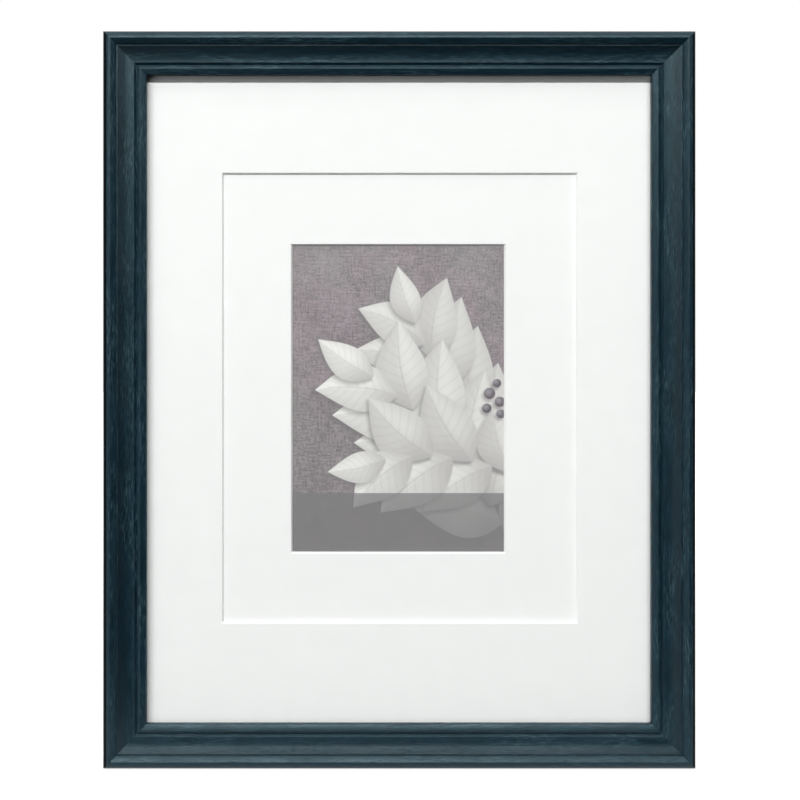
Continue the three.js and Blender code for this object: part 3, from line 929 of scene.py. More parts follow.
@dataclass(frozen=True)
class Finishes:
    """The finishes of the whole object."""

    paint: GrainPaint = GrainPaint()
    # Near-black paint of the outer sides; on the upright rails it also reaches round the shoulder as painted
    # shade.
    side: GrainPaint = GrainPaint(
        name="side_paint",
        deep=(0.0008, 0.0022, 0.0034),
        body=(0.0018, 0.0045, 0.0065),
        fleck=(0.0045, 0.0085, 0.0110),
        specular=0.03,
    )
    glass: ClearGlass = ClearGlass()
    mat: Board = Board()
    core: Board = Board("mat_core", (0.90, 0.90, 0.89), (0.93, 0.93, 0.92), 0.5, bump_depth=0.05 * MM)
    tape: Board = Board("linen_tape", (0.74, 0.72, 0.66), (0.82, 0.80, 0.75), 0.6)
    filler: Board = Board("filler_card", (0.33, 0.23, 0.14), (0.42, 0.31, 0.20), 2.5)
    backing: Board = Board(
        name="backing_board",
        low=(0.022, 0.021, 0.020),
        high=(0.048, 0.046, 0.044),
        fibre_length=1.8,
        roughness=0.62,
        specular=0.4,
        bump_depth=0.08 * MM,
        dust_share=0.12,
    )
    zinc: Plating = Plating()
    steel: Plating = Plating(
        name="fastener_steel", low=(0.34, 0.345, 0.35), high=(0.52, 0.52, 0.52), smooth=0.2, dull=0.4
    )
    rubber: Rubber = Rubber()


FINISHES = Finishes()


def in_scene(name: str, data: bpy.types.ID) -> bpy.types.Object:
    """Put a new object in the scene.

    Args:
        name: its name.
        data: its mesh, lamp or camera.

    Returns:
        The object.
    """
    item = bpy.data.objects.new(name, data)
    bpy.context.scene.collection.objects.link(item)
    return item


def plain_mesh(bm: bmesh.types.BMesh, name: str) -> Mesh:
    """Turn an edit mesh into a plain one, and free it.

    Args:
        bm: the edit mesh.
        name: the plain mesh's name.

    Returns:
        The plain mesh.
    """
    mesh = bpy.data.meshes.new(name)
    bm.to_mesh(mesh)
    bm.free()
    return mesh


def grown(tree: Tree, start: Mesh, inputs: Mapping[str, object]) -> Mesh:
    """Run a geometry tree on a mesh.

    Args:
        tree: the geometry tree.
        start: the mesh that it starts from.
        inputs: the tree's inputs by name.

    Returns:
        The result as a plain mesh.
    """
    holder = in_scene(tree.name, start)
    modifier = holder.modifiers.new("shape", "NODES")
    modifier.node_group = tree
    for item in tree.interface.items_tree:
        if item.in_out == "INPUT" and item.name in inputs:
            modifier[item.identifier] = inputs[item.name]
    depsgraph = bpy.context.evaluated_depsgraph_get()
    evaluated = holder.evaluated_get(depsgraph)
    mesh = bpy.data.meshes.new_from_object(evaluated, preserve_all_data_layers=True, depsgraph=depsgraph)
    holder.modifiers.remove(modifier)
    bpy.data.objects.remove(holder)
    while mesh.materials and mesh.materials[0] is None:
        mesh.materials.pop(index=0)
    return mesh


def points_mesh(points: Sequence[Sequence[float]]) -> Mesh:
    """A mesh of loose points, for a tree to put things on.

    Args:
        points: where they are.

    Returns:
        The mesh.
    """
    mesh = bpy.data.meshes.new("points")
    mesh.from_pydata([tuple(point) for point in points], [], [])
    return mesh


def eased(bm: bmesh.types.BMesh, radius: float) -> None:
    """Round the sharp edges of a mesh and leave its flats flat.

    Args:
        bm: the mesh.
        radius: how far back the rounding starts, in metres.
    """
    limit = math.radians(25.0)
    sharp = [edge for edge in bm.edges if edge.is_manifold and edge.calc_face_angle() > limit]
    form = {"segments": 2, "profile": 0.5, "affect": "EDGES", "clamp_overlap": True, "material": -1}
    for face in bmesh.ops.bevel(bm, geom=sharp, offset=radius, **form)["faces"]:
        face.smooth = True


def eased_copy(node: str, radius: float) -> Mesh:
    """A copy of a CAD node's mesh, merged, with its edges rounded.

    Args:
        node: the node's name.
        radius: how far back the rounding starts, in metres.

    Returns:
        The new mesh.
    """
    bm = bmesh.new()
    bm.from_mesh(frame["nodes"][node].data)
    bmesh.ops.remove_doubles(bm, verts=bm.verts, dist=0.001 * MM)
    for face in bm.faces:
        face.smooth = False
    bmesh.ops.dissolve_limit(bm, angle_limit=math.radians(1.0), verts=bm.verts, edges=bm.edges)
    eased(bm, radius)
    return plain_mesh(bm, node)


def boxed(low: Sequence[float], high: Sequence[float], radius: float) -> Mesh:
    """A plain sheet with eased edges between two corners.

    Args:
        low: its lowest corner.
        high: its highest corner.
        radius: how far back the easing starts, in metres.

    Returns:
        The mesh.
    """
    bm = bmesh.new()
    bmesh.ops.create_cube(bm, size=1.0)
    middle = (Vector(low) + Vector(high)) / 2
    size = Vector(high) - Vector(low)
    for vertex in bm.verts:
        vertex.co = middle + Vector(part * side for part, side in zip(vertex.co, size))
    eased(bm, radius)
    return plain_mesh(bm, "sheet")


def put(name: str, mesh: Mesh, slot: Slot, nodes: Sequence[str], *finishes: Finish) -> None:
    """Put a finished mesh in the scene in place of CAD nodes of one body.

    Args:
        name: the piece's name.
        mesh: its mesh, in place.
        slot: the record's material slot; not used.
        nodes: the CAD nodes that it stands for.
        finishes: finishes for its material numbers, where the mesh has none yet.
    """
    for finish in finishes:
        mesh.materials.append(finish.material())
    piece = in_scene(name, mesh)
    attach(piece, frame["nodes"][nodes[0]]["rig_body"])
    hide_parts(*nodes)
    log.info("%s: %d faces, in place of %s", name, len(mesh.polygons), ", ".join(nodes))


@dataclass(frozen=True)
class SectionPoint:
    """A point of the section in millimetres: in from the outer edge, and forward from the back."""

    inset: float
    height: float
    arris: float = 0.0


def elliptic_arc(centre: Point, radii: Point, start: float, end: float, steps: int) -> list[Point]:
    """Points on an elliptic arc, both ends among them.

    Args:
        centre: its centre.
        radii: its half axes.
        start: the angle where it starts, in degrees.
        end: the angle where it ends.
        steps: how many chords it has.

    Returns:
        The points.
    """
    angles = [math.radians(start + (end - start) * step / steps) for step in range(steps + 1)]
    return [(centre[0] + radii[0] * math.cos(a), centre[1] + radii[1] * math.sin(a)) for a in angles]


def bowed_line(start: Point, end: Point, bow: float, steps: int) -> list[Point]:
    """Points on a shallow bow between two points, both among them.

    Args:
        start: where it starts.
        end: where it ends.
        bow: how far it stands out to the left of the way.
        steps: how many chords it has.

    Returns:
        The points.
    """
    along = Vector(end) - Vector(start)
    left = Vector((-along.y, along.x)).normalized()
    points = []
    for step in range(steps + 1):
        share = step / steps
        points.append(tuple(Vector(start) + along * share + left * (4 * bow * share * (1 - share))))
    return points


def eased_outline(points: Sequence[Point], radius: float, sharper_than: float = 20.0) -> list[SectionPoint]:
    """Round the corners of a closed outline that runs clockwise, and mark those that stand out.

    Args:
        points: the outline.
        radius: the rounding of its corners.
        sharper_than: the least turn of a corner, in degrees.

    Returns:
        The new outline.
    """
    arc_steps = 4
    holding = 0.12
    outline = []
    for index, here in enumerate(points):
        corner = Vector(here)
        back = Vector(points[index - 1]) - corner
        onward = Vector(points[(index + 1) % len(points)]) - corner
        turn = math.pi - back.angle(onward)
        if turn < math.radians(sharper_than):
            outline.append(SectionPoint(*here))
            continue
        room = 0.42 * min(back.length, onward.length)
        reach = min(radius * math.tan(turn / 2), room)
        stands_out = float(back.x * onward.y - back.y * onward.x > 0)
        start, end = corner + back.normalized() * reach, corner + onward.normalized() * reach
        if back.length > 4 * (reach + holding):
            outline.append(SectionPoint(*(start + back.normalized() * holding)))
        for step in range(arc_steps + 1):
            share = step / arc_steps
            on_arc = start * (1 - share) ** 2 + corner * (2 * share * (1 - share)) + end * share**2
            outline.append(SectionPoint(on_arc.x, on_arc.y, stands_out))
        if onward.length > 4 * (reach + holding):
            outline.append(SectionPoint(*(end + onward.normalized() * holding)))
    return outline


@cache
def mitred_rail_tree() -> Tree:
    """A section swept along a rail, mitred at both ends, cut for its fixings and turned to its side.

    Returns:
        The tree.
    """
    inputs = {
        "Section": Socket.GEOMETRY,
        "Length": Socket.NUMBER,
        "Edge": Socket.NUMBER,
        "Mitre Gap": Socket.NUMBER,
        "Steps": Socket.COUNT,
        "Waver": Socket.NUMBER,
        "Grain Start": Socket.VECTOR,
        "Turn": Socket.NUMBER,
        "Centre": Socket.VECTOR,
        "Cutters": Socket.OBJECT,
        "Paint": Socket.MATERIAL,
        "Side Width": Socket.NUMBER,
        "Side Paint": Socket.MATERIAL,
    }
    group = Group("mitred_rail", inputs, {"Rail": Socket.GEOMETRY}, TreeKind.GEOMETRY)
    write, given = group.write, group.given
    waver_size = (14 * MM, 2.2 * MM, 2.2 * MM)
    section = write.take("GeometryNodeMeshToCurve", {"Mesh": given["Section"]})
    half = write.math("MULTIPLY", given["Length"], 0.5)
    start, end = write.combine(write.math("MULTIPLY", half, -1.0), 0.0, 0.0), write.combine(half, 0.0, 0.0)
    line = write.take("GeometryNodeCurvePrimitiveLine", {"Start": start, "End": end})
    stations = {"Curve": line, "Count": given["Steps"]}
    path = write.take("GeometryNodeResampleCurve", stations, mode="COUNT")
    path = write.take("GeometryNodeSetCurveNormal", {"Curve": path}, mode="Z_UP")
    sweep = {"Curve": path, "Profile Curve": section, "Fill Caps": True}
    rail = write.take("GeometryNodeCurveToMesh", sweep)

    place = write.take("GeometryNodeInputPosition")
    along, forward, in_from_edge = write.separate(place)
    trimmed = write.math("DIVIDE", write.math("SUBTRACT", in_from_edge, given["Mitre Gap"]), half)
    mitred = write.math("MULTIPLY", along, write.math("ADD", trimmed, 1.0))
    moved = {"Geometry": rail, "Position": write.combine(mitred, forward, in_from_edge)}
    rail = write.take("GeometryNodeSetPosition", moved)
    grain = write.vector("ADD", place, given["Grain Start"])
    marks = {"Geometry": rail, "Name": "grain", "Value": grain}
    rail = write.take("GeometryNodeStoreNamedAttribute", marks, data_type="FLOAT_VECTOR", domain="POINT")
    # Faces near the outer edge take the dark side paint, which on upright rails also stands for painted
    # shade on the shoulder.
    inset = write.math("MULTIPLY", in_from_edge, -1.0)
    in_side_and_shade = write.math("LESS_THAN", inset, given["Side Width"])
    marks = {"Geometry": rail, "Name": "side", "Value": in_side_and_shade}
    rail = write.take("GeometryNodeStoreNamedAttribute", marks, data_type="BOOLEAN", domain="FACE")

    uneven = write.math("SUBTRACT", write.noise(grain, waver_size), 0.5)
    outward = write.take("GeometryNodeInputNormal")
    offset = write.scaled(outward, write.math("MULTIPLY", uneven, given["Waver"]))
    rail = write.take("GeometryNodeSetPosition", {"Geometry": rail, "Offset": offset})
    to_edge = {"Geometry": rail, "Translation": write.combine(0.0, 0.0, given["Edge"])}
    rail = write.take("GeometryNodeTransform", to_edge)
    euler = write.combine(0.0, given["Turn"], 0.0)
    turned = write.take("FunctionNodeEulerToRotation", {0: euler})
    to_side = {"Geometry": rail, "Rotation": turned, "Translation": given["Centre"]}
    rail = write.take("GeometryNodeTransform", to_side)
    rail = write.take("GeometryNodeSetShadeSmooth", {"Geometry": rail})

    cutters = write.add("GeometryNodeObjectInfo", {"Object": given["Cutters"]}).outputs["Geometry"]
    rail = write.solid("DIFFERENCE", {"Mesh 1": rail, "Mesh 2": cutters})
    rail = write.finished(rail, given["Paint"])
    in_side_and_shade = write.take("GeometryNodeInputNamedAttribute", {"Name": "side"}, data_type="BOOLEAN")
    sides = {"Geometry": rail, "Selection": in_side_and_shade, "Material": given["Side Paint"]}
    rail = write.take("GeometryNodeSetMaterial", sides)
    return group.give(Rail=rail)


@dataclass
class Moulding:
    """Four mitred rails of one moulding, cut at the back for V-nails, screws and hanger nails.

    Insets run in from the outer edge and heights forward from the seat of the rebate, in millimetres.
    """

    width: float = 22.0
    rebate_width: float = 6.5
    seat_gap: float = 0.1
    shoulder_height: float = 5.4
    crest_inset: float = 4.3
    fall_bow: float = 0.08
    fillet_inset: float = 6.95
    fillet_top: float = 7.15
    fillet_bottom: float = 6.5
    fillet_width: float = 0.7
    cove_bend: tuple[float, float] = (0.42, 0.633)
    cove_bow: float = 0.25
    lip_inset: float = 15.8
    lip_height: float = 3.9
    quirk_inset: float = 16.95
    quirk_width: float = 0.3
    quirk_floor: float = 2.8
    bead_start: tuple[float, float] = (17.4, 3.5)
    bead_inset: float = 19.0
    bead_height: float = 4.2
    bead_rise_bow: float = 0.1
    bead_fall_bow: float = 0.1
    sight_height: float = 2.8
    arris_radius: float = 0.22
    mitre_gap: float = 0.03
    steps: int = 110
    waver: float = 0.05
    # how far along the cove the painted shade fades out
    glaze_fade: float = 6.0
    # dark side paint reaches this far in: on upright rails round the shoulder, as painted shade; on level
    # rails only over the side face
    side_upright: float = 2.2
    side_level: float = 0.05
    slot_clearance: float = 0.15
    bore_clearance: float = 0.2
    bore_sides: int = 20
    cutter_overrun: float = 0.5
    grain_step: tuple[float, float, float] = (0.9, 0.013, 0.007)
    shoulder_chords: int = 16
    fall_chords: int = 7
    cove_chords: tuple[int, int] = (8, 14)
    bead_chords: tuple[int, int] = (9, 8)

    def outline(self, seat: float, crest: float) -> list[SectionPoint]:
        """Trace the section.

        Args:
            seat: how far the rebate's seat lies in front of the back.
            crest: how far the crest lies in front of the back.

        Returns:
            The closed outline, from the back of the outer edge over the front to the rebate.
        """
        shoulder = seat + self.shoulder_height
        bottom = seat + self.fillet_bottom
        cove_start = (self.fillet_inset + self.fillet_width, bottom)
        lip = (self.lip_inset, seat + self.lip_height)
        bend = tuple(Vector(cove_start) + (Vector(lip) - Vector(cove_start)) * Vector(self.cove_bend))
        quirk = seat + self.quirk_floor
        bead_foot = (self.bead_start[0], seat + self.bead_start[1])
        bead_top = (self.bead_inset, seat + self.bead_height)
        wall = self.width - self.rebate_width
        crest_point = (self.crest_inset, crest)
        path = [(0.0, 0.0)]
        radii = (self.crest_inset, crest - shoulder)
        path += elliptic_arc((self.crest_inset, shoulder), radii, 180.0, 90.0, self.shoulder_chords)
        fall_end = (self.fillet_inset, seat + self.fillet_top)
        path += bowed_line(crest_point, fall_end, self.fall_bow, self.fall_chords)[1:]
        path += [(self.fillet_inset, bottom)]
        path += bowed_line(cove_start, bend, 0.0, self.cove_chords[0])
        path += bowed_line(bend, lip, -self.cove_bow, self.cove_chords[1])[1:]
        path += [(self.quirk_inset, quirk), (self.quirk_inset + self.quirk_width, quirk)]
        path += bowed_line(bead_foot, bead_top, self.bead_rise_bow, self.bead_chords[0])
        sight = (self.width, seat + self.sight_height)
        path += bowed_line(bead_top, sight, self.bead_fall_bow, self.bead_chords[1])[1:]
        path += [(self.width, seat), (wall, seat), (wall, 0.0)]
        return eased_outline(path, self.arris_radius)

    def hollow(self, point: SectionPoint) -> float:
        """How much shade is painted into the cove: most where the cove starts, and less and less along it.
        """
        past = point.inset - self.fillet_inset - self.fillet_width
        return max(0.0, 1.0 - past / self.glaze_fade) if past > 0 else 0.0

    def section(self, outline: Sequence[SectionPoint]) -> Mesh:
        """The outline as a closed ring of edges, with its arrises and its painted cove shade marked.

        Args:
            outline: the section's outline.

        Returns:
            The ring.
        """
        mesh = bpy.data.meshes.new("moulding_section")
        count = len(outline)
        places = [(point.height * MM, point.inset * MM, 0.0) for point in outline]
        mesh.from_pydata(places, [(step, (step + 1) % count) for step in range(count)], [])
        arrises = [point.arris for point in outline]
        painted_cove_shades = [self.hollow(point) for point in outline]
        for name, shares in (("arris", arrises), ("hollow", painted_cove_shades)):
            mesh.attributes.new(name, "FLOAT", "POINT").data.foreach_set("value", shares)
        return mesh

    def cutters(self, back: float) -> bpy.types.Object:
        """Blocks and pegs that cut the V-nails' slots and the bores of screws and nails.

        Args:
            back: the plane of the rails' backs.

        Returns:
            An object that holds all of them.
        """
        bm = bmesh.new()
        clear, out = self.slot_clearance * MM, back + self.cutter_overrun * MM
        for name in frame["nodes"]:
            low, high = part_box(name)
            if name.startswith("v_nail_"):
                self.cut_slot(bm, low, high, clear, out)
            elif name.startswith("turn_screw_"):
                self.cut_bore(bm, low, high, SCREW_SHANK + self.bore_clearance, out)
            elif "_nail_" in name:
                self.cut_bore(bm, low, high, NAIL_SHANK + self.bore_clearance, out)
        bmesh.ops.recalc_face_normals(bm, faces=bm.faces)
        return in_scene("rail_cutters", plain_mesh(bm, "rail_cutters"))

    def cut_slot(self, bm: bmesh.types.BMesh, low: Vector, high: Vector, clear: float, out: float) -> None:
        """Add an L-shaped block round a V-nail.

        Args:
            bm: the mesh that takes the block.
            low: the V-nail's lowest corner.
            high: its highest corner.
            clear: the room all round.
            out: the plane behind the back where the block ends.
        """
        thickness = V_NAIL_SHEET * MM + 2 * clear
        centre = self.centre()
        near = [high[i] + clear if high[i] + low[i] < 2 * centre[i] else low[i] - clear for i in (0, 2)]
        far = [low[i] - clear if high[i] + low[i] < 2 * centre[i] else high[i] + clear for i in (0, 2)]
        arm = [math.copysign(thickness, far[i] - near[i]) for i in (0, 1)]
        plan = [
            (near[0], near[1]),
            (far[0], near[1]),
            (far[0], near[1] + arm[1]),
            (near[0] + arm[0], near[1] + arm[1]),
            (near[0] + arm[0], far[1]),
            (near[0], far[1]),
        ]
        floor = bm.faces.new([bm.verts.new((x, low.y - clear, z)) for x, z in plan])
        raised = bmesh.ops.extrude_face_region(bm, geom=[floor])["geom"]
        for vertex in raised:
            if isinstance(vertex, bmesh.types.BMVert):
                vertex.co.y = out

    def cut_bore(self, bm: bmesh.types.BMesh, low: Vector, high: Vector, radius: float, out: float) -> None:
        """Add a peg round a screw's or nail's shank.

        Args:
            bm: the mesh that takes the peg.
            low: the fixing's lowest corner.
            high: its highest corner.
            radius: the peg's radius in millimetres.
            out: the plane behind the back where the peg ends.
        """
        foot = low.y - self.bore_clearance * MM
        form = {"segments": self.bore_sides, "radius1": radius * MM, "radius2": radius * MM}
        made = bmesh.ops.create_cone(bm, cap_ends=True, depth=out - foot, **form)
        middle = (low + high) / 2
        for vertex in made["verts"]:
            x, y, z = vertex.co
            vertex.co = (middle.x + x, (foot + out) / 2 + z, middle.z - y)

    def centre(self) -> Vector:
        """The centre of the frame's outer edges.

        Returns:
            The centre, on the plane of the wall.
        """
        left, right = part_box("rail_left")[0].x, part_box("rail_right")[1].x
        foot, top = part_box("rail_bottom")[0].z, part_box("rail_top")[1].z
        return Vector(((left + right) / 2, 0.0, (foot + top) / 2))

    def build(self) -> None:
        """Sweep, mitre and place the four rails."""
        crest_plane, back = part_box("rail_top")[0].y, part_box("rail_top")[1].y
        seat_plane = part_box("glass")[0].y - self.seat_gap * MM
        section = self.section(self.outline((back - seat_plane) / MM, (back - crest_plane) / MM))
        centre = self.centre()
        half_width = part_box("rail_right")[1].x - centre.x
        half_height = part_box("rail_top")[1].z - centre.z
        cutters = self.cutters(back)
        along, through, across = self.grain_step
        for number, side in enumerate(Side):
            name = side.name.lower()
            inputs = {
                "Length": 2 * (half_width if side.level else half_height),
                "Edge": half_height if side.level else half_width,
                "Mitre Gap": self.mitre_gap * MM,
                "Steps": self.steps,
                "Waver": self.waver * MM,
                "Grain Start": (along * (number + 1), through * number, across * number),
                "Turn": side.value,
                "Centre": (centre.x, back, centre.z),
                "Cutters": cutters,
                "Paint": FINISHES.paint.material(),
                "Side Width": (self.side_level if side.level else self.side_upright) * MM,
                "Side Paint": FINISHES.side.material(),
            }
            mesh = grown(mitred_rail_tree(), section.copy(), inputs)
            put(f"moulding_{name}", mesh, Slot.MOULDING, [f"rail_{name}"])
        bpy.data.objects.remove(cutters)


@dataclass
class SheetStack:
    """Glass, double window mat, print, filler and backboard, in millimetres."""

    print_lap: float = 6.7
    inner_shift: Point = (-0.15, 0.15)
    reveal: float = 37.52
    outer_shift: Point = (0.65, 0.56)
    bevel: float = 0.8
    edge_radius: float = 0.07
    glass_radius: float = 0.25
    board_radius: float = 0.3

    def window_mat(self, node: str, window: Vector, shift: Point) -> Mesh:
        """A board with a window whose cut slants, wider in front.

        Args:
            node: the CAD node that gives the board's place and thickness.
            window: half the window's width and height at the back of the cut, in metres.
            shift: how far the window was cut to the right of the middle and above it, in millimetres.

        Returns:
            The mesh, with its cut faces on the second material.
        """
        low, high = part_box(node)
        middle = (low + high) / 2
        bevel = self.bevel * MM
        aside, above = middle.x + shift[0] * MM, middle.z + shift[1] * MM
        bm = bmesh.new()
        rings = []
        for centre_x, centre_z, half_x, half_z, y in (
            (middle.x, middle.z, (high.x - low.x) / 2, (high.z - low.z) / 2, high.y),
            (middle.x, middle.z, (high.x - low.x) / 2, (high.z - low.z) / 2, low.y),
            (aside, above, window.x + bevel, window.y + bevel, low.y),
            (aside, above, window.x, window.y, high.y),
        ):
            corners = ((-half_x, -half_z), (half_x, -half_z), (half_x, half_z), (-half_x, half_z))
            rings.append([bm.verts.new((centre_x + x, y, centre_z + z)) for x, z in corners])
        for number, ring in enumerate(rings):
            following = rings[(number + 1) % len(rings)]
            for step in range(4):
                after = (step + 1) % 4
                face = bm.faces.new((ring[step], ring[after], following[after], following[step]))
                face.material_index = int(number == 2)
        bmesh.ops.recalc_face_normals(bm, faces=bm.faces)
        eased(bm, self.edge_radius * MM)
        return plain_mesh(bm, node)

    def build(self) -> None:
        """Make the sheets that are seen, and dress those that stay as they are."""
        low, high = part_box("picture_print")
        middle = (low + high) / 2
        lap = self.print_lap * MM
        inner = Vector(((high.x - low.x) / 2 - lap, (high.z - low.z) / 2 - lap))
        outer = inner + Vector((self.reveal, self.reveal)) * MM
        pane = boxed(*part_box("glass"), self.glass_radius * MM)
        put("glass_pane", pane, Slot.GLASS, ["glass"], FINISHES.glass)
        faces = (FINISHES.mat, FINISHES.core)
        board = self.window_mat("outer_mat", outer, self.outer_shift)
        put("mat_outer", board, Slot.MAT, ["outer_mat"], *faces)
        board = self.window_mat("inner_mat", inner, self.inner_shift)
        put("mat_inner", board, Slot.MAT, ["inner_mat"], *faces)
        SprigPrint(centre=tuple(middle / MM)).dress("picture_print")
        FINISHES.tape.dress("print_tape_left", "print_tape_right")
        FINISHES.filler.dress("filler_board")
        panel = boxed(*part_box("backboard"), self.board_radius * MM)
        put("backing_panel", panel, Slot.BACKING, ["backboard"], FINISHES.backing)


@cache
def rounded_disc() -> Tree:
    """A disc on the plane z = 0, rounded at its foot and crowned or rounded on top.

    Returns:
        The tree.
    """
    inputs = dict.fromkeys(("Radius", "Height", "Rounding", "Crown", "Foot Rounding"), Socket.NUMBER)
    group = Group("rounded_disc", inputs, {"Disc": Socket.GEOMETRY}, TreeKind.GEOMETRY)
    write, given = group.write, group.given
    ball = write.take("GeometryNodeMeshUVSphere", {"Segments": 40, "Rings": 20, "Radius": 1.0})
    x, y, z = write.separate(write.take("GeometryNodeInputPosition"))
    level = write.combine(x, y, 0.0)
    on_top = write.math("GREATER_THAN", z, 0.0)
    side_round = write.spread(on_top, 0.0, 1.0, given["Foot Rounding"], given["Rounding"], False)
    rise = write.spread(on_top, 0.0, 1.0, given["Foot Rounding"], given["Crown"], False)
    inner = write.math("SUBTRACT", given["Radius"], side_round)
    core = write.scaled(write.vector("NORMALIZE", level), inner)
    spread = write.vector("ADD", core, write.scaled(level, side_round))
    base = write.spread(on_top, 0.0, 1.0, rise, write.math("SUBTRACT", given["Height"], rise), False)
    lift = write.combine(0.0, 0.0, write.math("MULTIPLY_ADD", z, rise, base))
    moved = {"Geometry": ball, "Position": write.vector("ADD", spread, lift)}
    disc = write.take("GeometryNodeSetPosition", moved)
    return group.give(Disc=disc)


def shaded_by_angle(write: NodeWriter, geometry: Plug) -> Plug:
    """Merge the doubled points that cuts leave, shade a mesh smooth and keep its sharp edges.

    Args:
        write: the writer of the tree.
        geometry: the mesh.

    Returns:
        The shaded mesh.
    """
    merged = write.take("GeometryNodeMergeByDistance", {"Geometry": geometry, "Distance": DOUBLED})
    smooth = write.take("GeometryNodeSetShadeSmooth", {"Geometry": merged})
    angle = write.add("GeometryNodeInputMeshEdgeAngle").outputs["Unsigned Angle"]
    sharp = write.math("GREATER_THAN", angle, math.radians(38.0))
    settings = {"Geometry": smooth, "Selection": sharp, "Shade Smooth": False}
    return write.take("GeometryNodeSetShadeSmooth", settings, domain="EDGE")


@cache
def fixing_tree(shank: bool, cross: bool) -> Tree:
    """Round-headed fixings on points of the back, each turned by chance about its own axis.

    Args:
        shank: whether they have a shank.
        cross: whether their heads have a cross recess.

    Returns:
        The tree.
    """
    names = ["Head Radius", "Head Height", "Rounding", "Crown", "Foot Rounding", "Spin"]
    names += ["Shank Radius", "Shank Length"] if shank else []
    names += ["Cross Length", "Cross Width", "Cross Depth"] if cross else []
    inputs = {"Points": Socket.GEOMETRY} | dict.fromkeys(names, Socket.NUMBER)
    inputs |= {"Seed": Socket.COUNT, "Finish": Socket.MATERIAL}
    group = Group("fixings", inputs, {"Fixings": Socket.GEOMETRY}, TreeKind.GEOMETRY)
    write, given = group.write, group.given
    sizes = {"Radius": given["Head Radius"], "Height": given["Head Height"]}
    sizes |= {name: given[name] for name in ("Rounding", "Crown", "Foot Rounding")}
    fixing = write.group(rounded_disc(), sizes)["Disc"]
    if shank:
        point_radius, overlap = 0.15 * MM, 0.3 * MM
        taper = {"Vertices": 24, "Radius Top": given["Shank Radius"], "Radius Bottom": point_radius}
        spike = write.take("GeometryNodeMeshCone", taper | {"Depth": given["Shank Length"]})
        sunk = write.math("SUBTRACT", overlap, given["Shank Length"])
        lowered = {"Geometry": spike, "Translation": write.combine(0.0, 0.0, sunk)}
        spike = write.take("GeometryNodeTransform", lowered)
        fixing = write.solid("UNION", {"Mesh 2": [fixing, spike]})
    if cross:
        deep = write.math("MULTIPLY", given["Cross Depth"], 2.0)
        top = write.combine(0.0, 0.0, given["Head Height"])
        bars = []
        spans_across = (given["Cross Length"], given["Cross Width"])
        for spans in (spans_across, spans_across[::-1]):
            bar = write.take("GeometryNodeMeshCube", {"Size": write.combine(*spans, deep)})
            bars.append(write.take("GeometryNodeTransform", {"Geometry": bar, "Translation": top}))
        fixing = write.solid("DIFFERENCE", {"Mesh 1": fixing, "Mesh 2": bars})
    fixing = shaded_by_angle(write, fixing)
    chance = write.add("FunctionNodeRandomValue", {"Seed": given["Seed"]}, data_type="FLOAT")
    spin = write.math("MULTIPLY", chance.outputs["Value"], given["Spin"])
    facing = write.take("FunctionNodeEulerToRotation", {0: write.combine(-QUARTER, spin, 0.0)})
    instances = {"Points": given["Points"], "Instance": fixing, "Rotation": facing}
    placed = write.take("GeometryNodeInstanceOnPoints", instances)
    return group.give(Fixings=write.finished(placed, given["Finish"]))


@dataclass
class RoundFixing:
    """Sizes of one kind of round-headed fixing, in millimetres."""

    piece: str
    node_start: str
    slot: Slot
    finish: Finish
    head_radius: float
    head_height: float
    rounding: float
    crown: float
    foot_rounding: float = 0.08
    shank_radius: float = 0.0
    shank_length: float = 0.0
    cross_length: float = 0.0
    cross_width: float = 0.0
    cross_depth: float = 0.0
    spin: float = 2 * math.pi
    seed: int = 1

    def build(self) -> None:
        """Put one at the place of each CAD node of the kind."""
        nodes = sorted(name for name in frame["nodes"] if name.startswith(self.node_start))
        places = []
        for node in nodes:
            low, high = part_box(node)
            places.append(((low.x + high.x) / 2, high.y - self.head_height * MM, (low.z + high.z) / 2))
        lengths = ("head_radius", "head_height", "rounding", "crown", "foot_rounding")
        lengths += ("shank_radius", "shank_length", "cross_length", "cross_width", "cross_depth")
        inputs = {name.replace("_", " ").title(): getattr(self, name) * MM for name in lengths}
        inputs |= {"Spin": self.spin, "Seed": self.seed, "Finish": self.finish.material()}
        tree = fixing_tree(self.shank_radius > 0, self.cross_length > 0)
        put(self.piece, grown(tree, points_mesh(places), inputs), self.slot, nodes)


